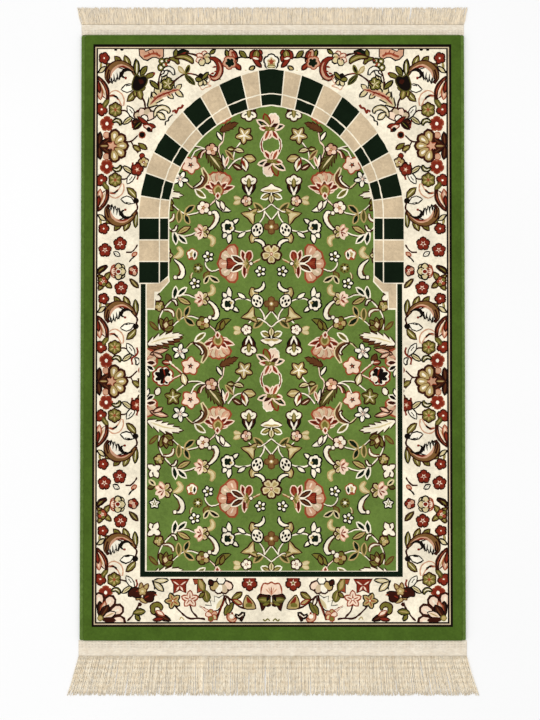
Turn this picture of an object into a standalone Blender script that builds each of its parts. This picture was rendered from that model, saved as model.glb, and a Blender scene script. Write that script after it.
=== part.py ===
"""Prayer rug with a woven pile, laid out flat on its back.

Seven pieces, as a rug maker would count them: the pile panel, the overcast edge along each of its long
sides, a flat woven heading across each end, and a fringe on each heading.

Metres, +Z up, +Y towards the end that the arch of the pattern points to.  The origin is on the floor,
at the middle of everything that lies there, fringes included.
"""

import math

import bmesh
import bpy

# The woven cloth: the pile with its overcast edges is a little wider at the near end than at the far one.
PILE_LENGTH = 1.102
NEAR_WIDTH = 0.7036
FAR_WIDTH = 0.6966
PILE_HEIGHT = 0.007
PILE_SHOULDER = 0.0025
GAP = 0.0003

# The overcast edges, sewn over the long sides.
OVERCAST_WIDTH = 0.0070
OVERCAST_HEIGHT = 0.0052
OVERCAST_ROUND = 0.0022

# The two ends.  Length is measured along Y, splay is how far the outermost tips fan out on each side.
ENDS = {
    "near": dict(heading_length=0.0280, overhang=0.0020, fringe_length=0.0730, splay=0.0235, ragged=0.0050),
    "far": dict(heading_length=0.0190, overhang=0.0000, fringe_length=0.0320, splay=0.0090, ragged=0.0030),
}
HEADING_HEIGHT = 0.0028
HEADING_ROUND = 0.0008

# Each fringe is one comb: a root strip along the heading, and locks of yarn that stand out from it.
FRINGE_HEIGHT = 0.0024
FRINGE_ROOT = 0.0030
LOCK_COUNT = 60
LOCK_SHARE = 0.72
SPLAY_POWER = 3

BEVEL_SEGMENTS = 3
SMOOTH_ANGLE = math.radians(35)

GREEN_PILE = (0.060, 0.120, 0.016)
CREAM_COTTON = (0.730, 0.610, 0.450)
PALE_TAPE = (0.760, 0.660, 0.500)

# Where each piece begins along Y, worked out from the lengths above so that Y = 0 is the middle of it all.
TOTAL_LENGTH = PILE_LENGTH + 4 * GAP + sum(
    end["heading_length"] + end["fringe_length"] for end in ENDS.values()
)
NEAR_PILE_Y = -TOTAL_LENGTH / 2 + ENDS["near"]["fringe_length"] + ENDS["near"]["heading_length"] + 2 * GAP
FAR_PILE_Y = NEAR_PILE_Y + PILE_LENGTH


def half_width(y):
    """Half the width of the cloth at y: a straight taper from the near end of the pile to the far one."""
    along = (y - NEAR_PILE_Y) / PILE_LENGTH
    return (NEAR_WIDTH + (FAR_WIDTH - NEAR_WIDTH) * along) / 2


def new_material(name, colour, roughness):
    """A plain Principled finish for one kind of yarn."""
    material = bpy.data.materials.new(name)
    material.use_nodes = True
    shader = material.node_tree.nodes["Principled BSDF"]
    shader.inputs["Base Color"].default_value = (*colour, 1.0)
    shader.inputs["Roughness"].default_value = roughness
    shader.inputs["Metallic"].default_value = 0.0
    return material


def add_slab(name, outline, height, material, edge_round=0.0):
    """A flat piece that lies on the floor: its outline raised to its height, with the upper rim rounded."""
    shape = bmesh.new()
    floor_face = shape.faces.new([shape.verts.new((x, y, 0.0)) for x, y in outline])
    raised = bmesh.ops.extrude_face_region(shape, geom=[floor_face], use_keep_orig=True)["geom"]
    top_points = [item for item in raised if isinstance(item, bmesh.types.BMVert)]
    bmesh.ops.translate(shape, verts=top_points, vec=(0.0, 0.0, height))
    if edge_round:
        rim = [edge for edge in shape.edges if all(point in top_points for point in edge.verts)]
        bmesh.ops.bevel(
            shape, geom=rim, offset=edge_round, offset_type="OFFSET", segments=BEVEL_SEGMENTS,
            profile=0.5, affect="EDGES",
        )
    bmesh.ops.recalc_face_normals(shape, faces=shape.faces)
    mesh = bpy.data.meshes.new(name)
    shape.to_mesh(mesh)
    shape.free()
    mesh.shade_smooth()
    mesh.set_sharp_from_angle(angle=SMOOTH_ANGLE)
    mesh.materials.append(material)
    piece = bpy.data.objects.new(name, mesh)
    bpy.context.scene.collection.objects.link(piece)
    return piece


def add_pile_panel(material):
    """The woven panel between the overcast edges."""
    near = half_width(NEAR_PILE_Y) - OVERCAST_WIDTH - GAP
    far = half_width(FAR_PILE_Y) - OVERCAST_WIDTH - GAP
    outline = [(-near, NEAR_PILE_Y), (near, NEAR_PILE_Y), (far, FAR_PILE_Y), (-far, FAR_PILE_Y)]
    return add_slab("pile_panel", outline, PILE_HEIGHT, material, PILE_SHOULDER)


def add_overcast_edge(name, side, material):
    """The wrapped edge on one long side: side is -1 on the left and 1 on the right."""
    near = half_width(NEAR_PILE_Y)
    far = half_width(FAR_PILE_Y)
    outline = [
        (side * (near - OVERCAST_WIDTH), NEAR_PILE_Y),
        (side * near, NEAR_PILE_Y),
        (side * far, FAR_PILE_Y),
        (side * (far - OVERCAST_WIDTH), FAR_PILE_Y),
    ]
    return add_slab(name, outline, OVERCAST_HEIGHT, material, OVERCAST_ROUND)


def add_heading(end_name, outward, material):
    """The flat woven band across one end.  outward is -1 at the near end and 1 at the far one."""
    end = ENDS[end_name]
    pile_y = NEAR_PILE_Y if outward < 0 else FAR_PILE_Y
    inner = pile_y + outward * GAP
    outer = inner + outward * end["heading_length"]
    half = half_width(pile_y) + end["overhang"]
    outline = [(-half, inner), (half, inner), (half, outer), (-half, outer)]
    return add_slab("heading_" + end_name, outline, HEADING_HEIGHT, material, HEADING_ROUND)


def splayed(x, outermost, splay):
    """Where a yarn that leaves the heading at x ends: the outermost ones fan out, the middle runs straight."""
    return x + splay * (abs(x) / outermost) ** SPLAY_POWER * math.copysign(1.0, x)


def lock_reach(index, length, ragged):
    """How far lock number index reaches from the heading: every third one or so is cut a little short."""
    return length - ragged * 0.5 * (1.0 + math.cos(2.4 * index))


def add_fringe(end_name, outward, material):
    """The fringe of one end, as a comb whose outline is walked lock by lock from left to right."""
    end = ENDS[end_name]
    pile_y = NEAR_PILE_Y if outward < 0 else FAR_PILE_Y
    start = pile_y + outward * (end["heading_length"] + 2 * GAP)
    half = half_width(pile_y) + end["overhang"]
    pitch = 2 * half / LOCK_COUNT
    lock = pitch * LOCK_SHARE
    outline = []
    for index in range(LOCK_COUNT):
        middle = -half + pitch * (index + 0.5)
        tip = splayed(middle, half - pitch / 2, end["splay"])
        reach = lock_reach(index, end["fringe_length"], end["ragged"])
        outline += [
            (middle - lock / 2, start + outward * FRINGE_ROOT),
            (tip - lock / 2, start + outward * reach),
            (tip + lock / 2, start + outward * reach),
            (middle + lock / 2, start + outward * FRINGE_ROOT),
        ]
    outline += [(half, start), (-half, start)]
    return add_slab("fringe_" + end_name, outline, FRINGE_HEIGHT, material)


def main():
    """Clears the scene and lays out the rug."""
    for item in list(bpy.data.objects):
        bpy.data.objects.remove(item, do_unlink=True)

    pile = new_material("pile", GREEN_PILE, 0.90)
    overcast = new_material("overcast", GREEN_PILE, 0.85)
    tape = new_material("heading", PALE_TAPE, 0.90)
    cotton = new_material("fringe", CREAM_COTTON, 0.80)

    add_pile_panel(pile)
    add_overcast_edge("overcast_left", -1, overcast)
    add_overcast_edge("overcast_right", 1, overcast)
    for end_name, outward in (("near", -1), ("far", 1)):
        add_heading(end_name, outward, tape)
        add_fringe(end_name, outward, cotton)


if __name__ == "__main__":
    main()
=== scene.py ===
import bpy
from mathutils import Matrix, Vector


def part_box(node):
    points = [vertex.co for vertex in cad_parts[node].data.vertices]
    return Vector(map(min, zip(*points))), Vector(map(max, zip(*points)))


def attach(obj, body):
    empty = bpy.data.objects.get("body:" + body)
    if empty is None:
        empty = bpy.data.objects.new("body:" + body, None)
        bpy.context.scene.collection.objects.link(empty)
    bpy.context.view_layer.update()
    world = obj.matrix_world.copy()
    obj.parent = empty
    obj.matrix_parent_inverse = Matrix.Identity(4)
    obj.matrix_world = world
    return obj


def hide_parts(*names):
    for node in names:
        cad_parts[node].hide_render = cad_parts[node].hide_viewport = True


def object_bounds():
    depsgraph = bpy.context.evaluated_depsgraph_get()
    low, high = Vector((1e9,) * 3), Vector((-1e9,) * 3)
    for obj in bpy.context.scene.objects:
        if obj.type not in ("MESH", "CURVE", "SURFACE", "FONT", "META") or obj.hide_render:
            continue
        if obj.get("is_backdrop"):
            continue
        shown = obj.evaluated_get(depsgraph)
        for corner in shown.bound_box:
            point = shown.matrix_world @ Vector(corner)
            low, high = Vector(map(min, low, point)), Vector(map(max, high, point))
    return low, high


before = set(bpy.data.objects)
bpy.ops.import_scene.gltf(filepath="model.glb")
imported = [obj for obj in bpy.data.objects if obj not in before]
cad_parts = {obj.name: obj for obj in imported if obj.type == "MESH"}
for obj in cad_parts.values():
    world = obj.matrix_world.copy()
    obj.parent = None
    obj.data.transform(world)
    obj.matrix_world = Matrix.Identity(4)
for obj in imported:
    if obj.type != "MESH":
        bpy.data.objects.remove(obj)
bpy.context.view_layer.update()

"""A machine-woven prayer rug laid flat on a pale floor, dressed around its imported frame.

The pile is one closed cloth. Its pattern is a mosaic: every band, arch block, petal, leaf and stem
is a flat outline worked out here in millimetres, laid in order like coloured paper, and the pile's
top is triangulated along all of those outlines, so each triangle has the colour of one yarn. The
overcast edges, the woven headings and the fringes are meshes of their own yarns.
"""

import logging
import math
from dataclasses import dataclass, field, replace
from enum import Enum

import bpy
import numpy as np
from mathutils import Vector
from mathutils.geometry import delaunay_2d_cdt

LOG = logging.getLogger("prayer_rug")
MM = 0.001
KNOT = 1.0  # mm between the points that an outline may turn at
SEED = 7
OUTLINE = 1.75  # how much wider than its nominal width every line round a shape is woven

# The drawing's own frame, in millimetres: x outward from the centreline, y up from the pile's middle.
DRAWN_HALF_WIDTH = 350.0
PILE_HALF_WIDTH = 343.0  # the rest of the drawn half width is the overcast edge
DRAWN_HALF_LENGTH = 551.0


class Yarn(Enum):
    """The dyed yarns, each as the red, green and blue that the eye sees, from 0 to 255."""

    BAND_GREEN = (72, 97, 33)
    MEADOW = (99, 122, 55)
    CREAM = (245, 234, 209)
    BEIGE = (206, 184, 151)
    BOTTLE = (15, 27, 14)
    BLACK = (18, 12, 8)
    UMBER = (54, 20, 11)
    RUST = (124, 40, 24)
    BRICK = (150, 70, 44)
    PINK = (204, 156, 125)
    SHELL = (240, 212, 186)
    OLIVE = (113, 106, 44)
    MOSS = (82, 76, 32)
    STRAW = (180, 156, 100)
    SAND = (214, 197, 150)
    BROWN = (94, 56, 29)
    TAN = (122, 86, 46)
    WHITE = (248, 240, 219)
    EDGE_GREEN = (88, 114, 47)
    EDGE_LIGHT = (106, 133, 63)
    TAPE = (229, 216, 195)
    TAPE_LIGHT = (241, 231, 213)
    FRINGE = (246, 229, 200)
    FRINGE_LIGHT = (255, 244, 222)
    PAPER = (246, 246, 246)
    PAPER_SHADE = (244, 244, 244)

    def linear(self) -> tuple[float, float, float]:
        """The yarn's colour in linear light, as a shader takes it.

        Returns:
            Red, green and blue from 0 to 1.
        """
        seen = np.array(self.value, float) / 255.0
        dark, light = seen / 12.92, ((seen + 0.055) / 1.055) ** 2.4
        return tuple(float(c) for c in np.where(seen <= 0.04045, dark, light))


(
    BAND_GREEN, MEADOW, CREAM, BEIGE, BOTTLE, BLACK, UMBER, RUST, BRICK, PINK, SHELL, OLIVE, MOSS,
    STRAW, SAND, BROWN, TAN, WHITE, EDGE_GREEN, EDGE_LIGHT, TAPE, TAPE_LIGHT, FRINGE, FRINGE_LIGHT,
    PAPER, PAPER_SHADE,
) = Yarn


class Zone(Enum):
    """The ground that a shape may show on."""

    ANYWHERE = 0
    BORDER = 1
    FIELD = 2


# ---------------------------------------------------------------- outlines, in millimetres


def line_through(points: object, per_span: int = 4) -> np.ndarray:
    """A smooth open line through points: each span is a cubic whose end slopes point at its neighbours.

    Args:
        points: Two or more (x, y) pairs.
        per_span: How many steps each span is cut into.

    Returns:
        The line's points, one row each.
    """
    p = np.asarray(points, float)
    p = np.vstack([2 * p[0] - p[1], p, 2 * p[-1] - p[-2]])
    t = np.linspace(0, 1, per_span, endpoint=False)[None, :, None]
    a, b, c, d = (p[k : len(p) - 3 + k, None, :] for k in range(4))
    spans = 0.5 * (2 * b + (c - a) * t + (2 * a - 5 * b + 4 * c - d) * t**2 + (3 * b - a - 3 * c + d) * t**3)
    return np.vstack([spans.reshape(-1, 2), p[-2]])


def loop_through(points: object, per_span: int = 3) -> np.ndarray:
    """A smooth closed outline through points, as line_through but joined round.

    Args:
        points: Three or more (x, y) pairs, in order round the outline.
        per_span: How many steps each span is cut into.

    Returns:
        The outline's points, one row each.
    """
    p = np.asarray(points, float)
    t = np.linspace(0, 1, per_span, endpoint=False)[None, :, None]
    a, b, c, d = (np.roll(p, shift, 0)[:, None, :] for shift in (1, 0, -1, -2))
    spans = 0.5 * (2 * b + (c - a) * t + (2 * a - 5 * b + 4 * c - d) * t**2 + (3 * b - a - 3 * c + d) * t**3)
    return spans.reshape(-1, 2)


def ribbon(line: np.ndarray, width: float, tip: float = 1.0) -> np.ndarray:
    """An outline of even width round a line, which may narrow evenly towards its far end.

    Args:
        line: The middle line.
        width: Its width at the start.
        tip: The width at the end as a share of the width at the start.

    Returns:
        The closed outline, up one side of the line and back down the other.
    """
    along = np.gradient(line, axis=0)
    across = np.stack([-along[:, 1], along[:, 0]], 1) / np.maximum(
        np.linalg.norm(along, axis=1), 1e-9
    )[:, None]
    half = 0.5 * width * np.linspace(1.0, tip, len(line))[:, None]
    return np.vstack([line + across * half, (line - across * half)[::-1]])


def petal(length: float, width: float, belly: float = 0.6, blunt: float = 0.75, steps: int = 7) -> np.ndarray:
    """A petal or leaf along +x: its half width is a sine raised to a power, widest at belly.

    Args:
        length: From its foot to its tip.
        width: At its widest.
        belly: Where it is widest, as a share of its length.
        blunt: The power: under 1 rounds the tip, over 1 sharpens it.
        steps: How many points each side has.

    Returns:
        The closed outline, whose foot is at the origin.
    """
    t = (1 - np.cos(np.linspace(0, math.pi, steps))) / 2
    half = 0.5 * width * np.sin(math.pi * t ** (math.log(0.5) / math.log(belly))).clip(0) ** blunt
    return np.vstack([np.stack([length * t, half], 1), np.stack([length * t, -half], 1)[-2:0:-1]])


def bent(outline: np.ndarray, turn: float) -> np.ndarray:
    """The outline with its x axis rolled onto an arc that turns by that many degrees along its length.

    Args:
        outline: An outline that starts at x = 0 and runs along +x.
        turn: The arc's whole turn in degrees, positive to the left.

    Returns:
        The bent outline.
    """
    if abs(turn) < 0.5:
        return outline
    curve = math.radians(turn) / max(outline[:, 0].max(), 1e-6)
    angle = outline[:, 0] * curve
    return np.stack(
        [
            np.sin(angle) / curve - outline[:, 1] * np.sin(angle),
            (1 - np.cos(angle)) / curve + outline[:, 1] * np.cos(angle)
        ],
        1
    )


def lobed(radius: float, count: int, depth: float, per_lobe: int = 5, turn: float = 0.0) -> np.ndarray:
    """A scalloped round outline: the radius dips by depth between its lobes, as a rectified cosine.

    Args:
        radius: To the tips of the lobes.
        count: How many lobes.
        depth: How deep each dip is, as a share of the radius.
        per_lobe: How many points each lobe has.
        turn: Degrees that the first lobe stands turned from +x.

    Returns:
        The closed outline round the origin.
    """
    angle = np.linspace(0, 2 * math.pi, count * per_lobe, endpoint=False)
    reach = radius * (1 - depth * (1 - np.abs(np.cos(angle * count / 2)) ** 0.8))
    angle = angle + math.radians(turn)
    return np.stack([reach * np.cos(angle), reach * np.sin(angle)], 1)


def star(radius: float, points: int, inner: float, turn: float = 0.0) -> np.ndarray:
    """A straight-sided star.

    Args:
        radius: To its points.
        points: How many points.
        inner: The radius of its inner corners, as a share of the radius.
        turn: Degrees that the first point stands turned from +x.

    Returns:
        The closed outline round the origin.
    """
    angle = np.arange(2 * points) * math.pi / points + math.radians(turn)
    reach = radius * np.where(np.arange(2 * points) % 2, inner, 1.0)
    return np.stack([reach * np.cos(angle), reach * np.sin(angle)], 1)


def saw_leaf(length: float, width: float, teeth: int, bite: float = 0.4) -> np.ndarray:
    """A pointed leaf along +x with saw teeth that lean towards its tip.

    Args:
        length: From its foot to its tip.
        width: Between the tips of the widest teeth.
        teeth: How many teeth each side has.
        bite: How deep each tooth is cut, as a share of the half width there.

    Returns:
        The closed outline, whose foot is at the origin.
    """
    k = np.arange(2 * teeth + 1)
    t = np.where(k % 2, (k + 1.4) / (2 * teeth + 1.4), k / (2 * teeth + 1.4))
    half = 0.5 * width * np.sin(math.pi * (0.08 + 0.9 * t)).clip(0) ** 0.8 * np.where(k % 2, 1.0, 1 - bite)
    tip = [[length, 0.0]]
    return np.vstack(
        [[[0.0, 0.0]], np.stack([length * t, half], 1), tip, np.stack([length * t, -half], 1)[::-1]]
    )


def shrunk(outline: np.ndarray, share: float, about: object = None) -> np.ndarray:
    """The outline scaled towards a point, or towards its own middle.

    Args:
        outline: Any outline.
        share: The scale.
        about: The (x, y) that stays, or None for the middle of the points.

    Returns:
        The scaled outline.
    """
    centre = outline.mean(0) if about is None else np.asarray(about, float)
    return centre + (outline - centre) * share


def grown(outline: np.ndarray, by: float) -> np.ndarray:
    """The outline moved outwards by a distance: each point goes along the mean of its two edges' normals.

    Args:
        outline: Any outline, in either direction.
        by: The distance.

    Returns:
        The wider outline, with as many points.
    """
    after, before = np.roll(outline, -1, 0), np.roll(outline, 1, 0)
    area = np.sum(outline[:, 0] * after[:, 1] - after[:, 0] * outline[:, 1])
    along = after - before
    normal = np.stack([along[:, 1], -along[:, 0]], 1) / np.maximum(
        np.linalg.norm(along, axis=1), 1e-9
    )[:, None]
    return outline + normal * by * (1.0 if area > 0 else -1.0)


# ---------------------------------------------------------------- the drawing


@dataclass
class Cartoon:
    """The rug's drawing: flat coloured outlines in the order that they are laid."""

    outlines: list[np.ndarray] = field(default_factory=list)
    yarns: list[Yarn] = field(default_factory=list)
    zones: list[Zone] = field(default_factory=list)
    grounds: dict[Zone, int] = field(default_factory=dict)

    def lay(self, outline: np.ndarray, yarn: Yarn, zone: Zone = Zone.ANYWHERE) -> None:
        """Lays one outline on top of what is there, its corners rounded to the weave's knots.

        Args:
            outline: The outline's points in the drawing's frame.
            yarn: Its colour.
            zone: The ground that it shows on.
        """
        knots = np.round(outline / KNOT) * KNOT
        knots = knots[np.any(knots != np.roll(knots, 1, 0), axis=1)]
        if len(knots) < 3 or zone in self.grounds and not self.touches(knots, zone):
            return
        self.outlines.append(knots)
        self.yarns.append(yarn)
        self.zones.append(zone)

    def lay_ground(self, outline: np.ndarray, yarn: Yarn, zone: Zone) -> None:
        """Lays the ground of a zone: shapes laid in that zone later show only on it.

        Args:
            outline: The ground's outline.
            yarn: The ground's colour.
            zone: The zone that it is the ground of.
        """
        self.lay(outline, yarn)
        self.grounds[zone] = len(self.outlines) - 1

    def touches(self, knots: np.ndarray, zone: Zone) -> bool:
        """Whether any point of an outline is on a zone's ground."""
        return bool(winding(knots, self.outlines[self.grounds[zone]]).any())

    def mosaic(self, spacing: float) -> tuple[np.ndarray, np.ndarray, np.ndarray]:
        """Triangulates the rug along every outline, and finds the topmost colour of each triangle.

        Args:
            spacing: Millimetres between the extra points that let the cloth's surface undulate.

        Returns:
            The points (n, 2), the triangles (m, 3) and each triangle's index in the list of yarns.
        """
        starts = np.cumsum([0] + [len(outline) for outline in self.outlines])
        corners = np.vstack(self.outlines)
        nexts = np.arange(len(corners)) + 1
        nexts[starts[1:] - 1] = starts[:-1]
        unique, where = np.unique(np.round(corners / KNOT).astype(int), axis=0, return_inverse=True)
        where = where.reshape(-1)
        edges = np.unique(np.sort(np.stack([where, where[nexts]], 1), axis=1), axis=0)
        x, y = np.meshgrid(
            np.arange(-DRAWN_HALF_WIDTH + spacing, DRAWN_HALF_WIDTH - spacing / 2, spacing),
            np.arange(-DRAWN_HALF_LENGTH + spacing, DRAWN_HALF_LENGTH - spacing / 2, spacing),
        )
        free = np.stack([x.ravel(), y.ravel()], 1) + 0.31 * KNOT
        points = np.vstack([unique * KNOT, free])
        made = delaunay_2d_cdt([Vector(p) for p in points.tolist()], edges.tolist(), [], 0, 1e-7, False)
        points = np.array([tuple(v) for v in made[0]])
        triangles = np.array(made[2])
        return points, triangles, self.paint(points[triangles].mean(1))

    def paint(self, middles: np.ndarray) -> np.ndarray:
        """The topmost colour at each point: the last outline laid whose winding round it isn't zero.

        Args:
            middles: The points, one row each.

        Returns:
            Each point's index in the list of yarns.
        """
        order = np.argsort(middles[:, 0])
        across, found = middles[order, 0], np.zeros(len(middles), int)
        allowed = {
            zone: winding(middles, self.outlines[index]) != 0 for zone, index in self.grounds.items()
        }
        for outline, yarn, zone in zip(self.outlines, self.yarns, self.zones):
            low, high = outline.min(0), outline.max(0)
            near = order[np.searchsorted(across, low[0]) : np.searchsorted(across, high[0])]
            near = near[(middles[near, 1] > low[1]) & (middles[near, 1] < high[1])]
            if zone in allowed:
                near = near[allowed[zone][near]]
            near = near[winding(middles[near], outline) != 0]
            found[near] = PALETTE.index(yarn)
        return found


PALETTE = list(Yarn)


def winding(points: np.ndarray, outline: np.ndarray) -> np.ndarray:
    """How many times the outline goes round each point: signed crossings of a ray towards +x.

    Args:
        points: The points, one row each.
        outline: The closed outline.

    Returns:
        The winding number of each point.
    """
    turns = np.zeros(len(points), int)
    for a, b in zip(outline, np.roll(outline, -1, 0)):
        if a[1] == b[1]:
            continue
        spans = (points[:, 1] >= min(a[1], b[1])) & (points[:, 1] < max(a[1], b[1]))
        cross = (b[0] - a[0]) * (points[:, 1] - a[1]) - (points[:, 0] - a[0]) * (b[1] - a[1])
        turns += np.where(spans & ((cross > 0) == (b[1] > a[1])), 1 if b[1] > a[1] else -1, 0)
    return turns


@dataclass(frozen=True)
class Pen:
    """A place, turn, size and hand at which motifs are drawn on a cartoon."""

    cartoon: Cartoon
    zone: Zone = Zone.ANYWHERE
    origin: tuple[float, float] = (0.0, 0.0)
    axes: tuple[tuple[float, float], tuple[float, float]] = ((1.0, 0.0), (0.0, 1.0))
    size: float = 1.0

    def at(
        self, x: float = 0.0, y: float = 0.0, turn: float = 0.0, size: float = 1.0, flip: bool = False
    ) -> "Pen":
        """The pen moved, turned and sized in its own frame.

        Args:
            x: Along the pen's x axis, in millimetres.
            y: Along its y axis.
            turn: Degrees, from the pen's x axis towards its y axis.
            size: The scale of what it draws.
            flip: Whether it draws mirrored across its new x axis.

        Returns:
            The new pen.
        """
        axes = np.array(self.axes)
        cos, sin = math.cos(math.radians(turn)), math.sin(math.radians(turn))
        side = -size if flip else size
        made = np.array([[cos * size, -sin * side], [sin * size, cos * side]])
        origin = axes @ np.array([x, y]) + np.array(self.origin)
        return replace(self, origin=tuple(origin), axes=tuple(map(tuple, axes @ made)), size=self.size * size)

    def mirrored(self, across_x: bool = False, across_y: bool = False) -> "Pen":
        """The pen with its own x or y axis turned round."""
        signs = np.diag([-1.0 if across_x else 1.0, -1.0 if across_y else 1.0])
        return replace(self, axes=tuple(map(tuple, np.array(self.axes) @ signs)))

    def stretched(self, share: float) -> "Pen":
        """The pen with its y axis lengthened by that share."""
        return replace(self, axes=tuple(map(tuple, np.array(self.axes) @ np.diag([1.0, share]))))

    def fill(self, outline: np.ndarray, yarn: Yarn, rim: Yarn | None = None, rim_width: float = 1.5) -> None:
        """Lays an outline in one yarn, on a wider one in another if it has a rim.

        Args:
            outline: In the pen's frame.
            yarn: The colour inside.
            rim: The colour of the line round it, or None.
            rim_width: That line's width on the rug, whatever the pen's size.
        """
        placed = outline @ np.array(self.axes).T + np.array(self.origin)
        if rim is not None:
            self.cartoon.lay(grown(placed, rim_width * OUTLINE), rim, self.zone)
        self.cartoon.lay(placed, yarn, self.zone)


# ---------------------------------------------------------------- motifs


def crescent(line: np.ndarray, width: float) -> np.ndarray:
    """An outline round a line that swells from a point to its width and back, as a half sine.

    Args:
        line: The middle line.
        width: The width half way along.

    Returns:
        The closed outline.
    """
    along = np.gradient(line, axis=0)
    across = np.stack([-along[:, 1], along[:, 0]], 1) / np.maximum(
        np.linalg.norm(along, axis=1), 1e-9
    )[:, None]
    half = 0.5 * width * (0.12 + 0.88 * np.sin(np.linspace(0, math.pi, len(line))) ** 0.8)[:, None]
    return np.vstack([line + across * half, (line - across * half)[::-1]])


def stem(
    pen: Pen, points: object, yarn: Yarn = CREAM, shade: Yarn | None = UMBER, width: float = 2.0
) -> None:
    """A stem along a smooth line, with a darker thread along one side.

    Args:
        pen: Where it is drawn.
        points: The points that the line goes through.
        yarn: The stem's colour.
        shade: The thread's colour, or None.
        width: The stem's width on the rug.
    """
    line = line_through(points, 3)
    if shade is not None:
        pen.fill(ribbon(line + np.array([0.7, -1.1]), width + 1.8), shade)
    pen.fill(ribbon(line, width if shade is not None else 1.25 * width), yarn)


def blade(
    pen: Pen, start: tuple[float, float], tip: tuple[float, float], width: float, yarn: Yarn,
    rim: Yarn | None = UMBER,
    bend: float = 0.0, vein: Yarn | None = None, blunt: float = 0.95, rim_width: float = 1.4,
) -> None:
    """A leaf or a single petal between two points.

    Args:
        pen: Where it is drawn.
        start: Its foot.
        tip: Its tip.
        width: Its width.
        yarn: Its colour.
        rim: The colour of the line round it, or None.
        bend: Degrees that it curves by on its way, positive to the left.
        vein: The colour of a narrow streak along it, or None.
        blunt: How round its tip is: smaller is rounder.
        rim_width: The width of the line round it.
    """
    run, rise = tip[0] - start[0], tip[1] - start[1]
    length = math.hypot(run, rise)
    own = pen.at(*start, turn=math.degrees(math.atan2(rise, run)) - bend / 2)
    own.fill(bent(petal(length, width, 0.52, blunt, 5 if length < 14 else 6), bend), yarn, rim, rim_width)
    if vein is not None:
        own.fill(bent(petal(length * 0.8, width * 0.3, 0.5, 1, 4) + np.array([length * 0.1, 0]), bend), vein)


def horn(
    pen: Pen, points: object, width: float, yarn: Yarn, rim: Yarn | None = UMBER, streak: Yarn | None = None
) -> None:
    """A curved, swelling leaf along a smooth line.

    Args:
        pen: Where it is drawn.
        points: The points that its middle goes through.
        width: Its width half way.
        yarn: Its colour.
        rim: The colour of the line round it, or None.
        streak: The colour of a narrow streak down its middle, or None.
    """
    line = line_through(points, 4)
    pen.fill(crescent(line, width), yarn, rim, 1.4)
    if streak is not None:
        pen.fill(crescent(line[1:-2], width * 0.34), streak)


def sprig(pen: Pen, *rows: tuple) -> None:
    """Draws the rows of a chart, one on top of the other.

    Args:
        pen: Where they are drawn.
        rows: Each is a leaf, as its foot's x and y, its tip's x and y and then what blade takes after them,
            or it is another way of drawing, and then what that takes after the pen.
    """
    for row in rows:
        if callable(row[0]):
            row[0](pen, *row[1:])
        else:
            blade(pen, row[:2], row[2:4], *row[4:])


def ring(
    pen: Pen, outline: np.ndarray, yarns: tuple[Yarn, ...], rims: tuple[tuple[Yarn, float], ...], count: int,
    start: float = 90.0, spread: float = 360.0, reach: float = 0.0, mark: np.ndarray | None = None,
    mark_yarn: Yarn = CREAM,
) -> None:
    """Petals round a point. The outermost line of every petal is laid before any petal is.

    Args:
        pen: Where it is drawn, with the point at its origin.
        outline: One petal, whose foot is at the origin and whose tip is along +x.
        yarns: The petals' colours, taken in turn.
        rims: The lines round each petal as colours and widths, widest first.
        count: How many petals.
        start: The direction of the first petal, or of the middle of an open fan.
        spread: 360 for a whole ring, or the angle between a fan's first and last petal.
        reach: How far each petal's foot is from the point.
        mark: An outline laid on each petal, or None.
        mark_yarn: Its colour.
    """
    whole = spread >= 360
    turns = start + (np.arange(count) * 360 / count if whole else np.linspace(-spread / 2, spread / 2, count))
    pens = [
        pen.at(reach * math.cos(math.radians(a)), reach * math.sin(math.radians(a)), turn=a) for a in turns
    ]
    for yarn, width in rims[:1]:
        for one in pens:
            one.fill(grown(outline, width * OUTLINE / pen.size), yarn)
    for index, one in enumerate(pens):
        for yarn, width in rims[1:]:
            one.fill(grown(outline, width / pen.size), yarn)
        one.fill(outline, yarns[index % len(yarns)])
        if mark is not None:
            one.fill(mark, mark_yarn)


def disc(radius: float, steps: int = 8) -> np.ndarray:
    """A round outline."""
    return lobed(radius, 1, 0, steps)


def point_star(pen: Pen, radius: float, yarn: Yarn, rim: Yarn, ray: Yarn, turn: float = 90.0) -> None:
    """A five-petalled star flower with a light ray down each petal.

    Args:
        pen: Where it is drawn.
        radius: To its points.
        yarn: Its colour.
        rim: Its outline's colour.
        ray: The rays' colour.
        turn: The direction of one petal.
    """
    ring(pen, petal(radius, radius * 0.6, 0.5, 0.8, 5), (yarn,), ((rim, 1.5),), 5, turn,
         mark=petal(radius * 0.78, radius * 0.2, 0.45, 1, 4), mark_yarn=ray)
    pen.fill(disc(radius * 0.13, 6), WHITE)


def shell_star(pen: Pen, radius: float, turn: float = 90.0) -> None:
    """A broad pale star flower with a dark star in its middle.

    Args:
        pen: Where it is drawn.
        radius: The flower's radius.
        turn: The flower's turn in degrees.
    """
    ring(pen, petal(radius, radius * 0.84, 0.46, 0.72, 5), (SHELL,), ((BRICK, 1.6),), 5, turn)
    pen.fill(star(radius * 0.4, 5, 0.42, turn), UMBER)
    pen.fill(disc(radius * 0.12, 6), BRICK)


def white_star(pen: Pen, radius: float, turn: float = 90.0) -> None:
    """A white star flower with black outlines and fine red lines between its petals.

    Args:
        pen: Where it is drawn.
        radius: The flower's radius.
        turn: The flower's turn in degrees.
    """
    ring(pen, petal(radius, radius * 0.5, 0.62, 0.8, 5), (WHITE,), ((BLACK, 1.5),), 5, turn,
         mark=petal(radius * 0.5, radius * 0.13, 0.5, 1, 4), mark_yarn=RUST)
    pen.fill(disc(radius * 0.15, 6), SHELL)


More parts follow.
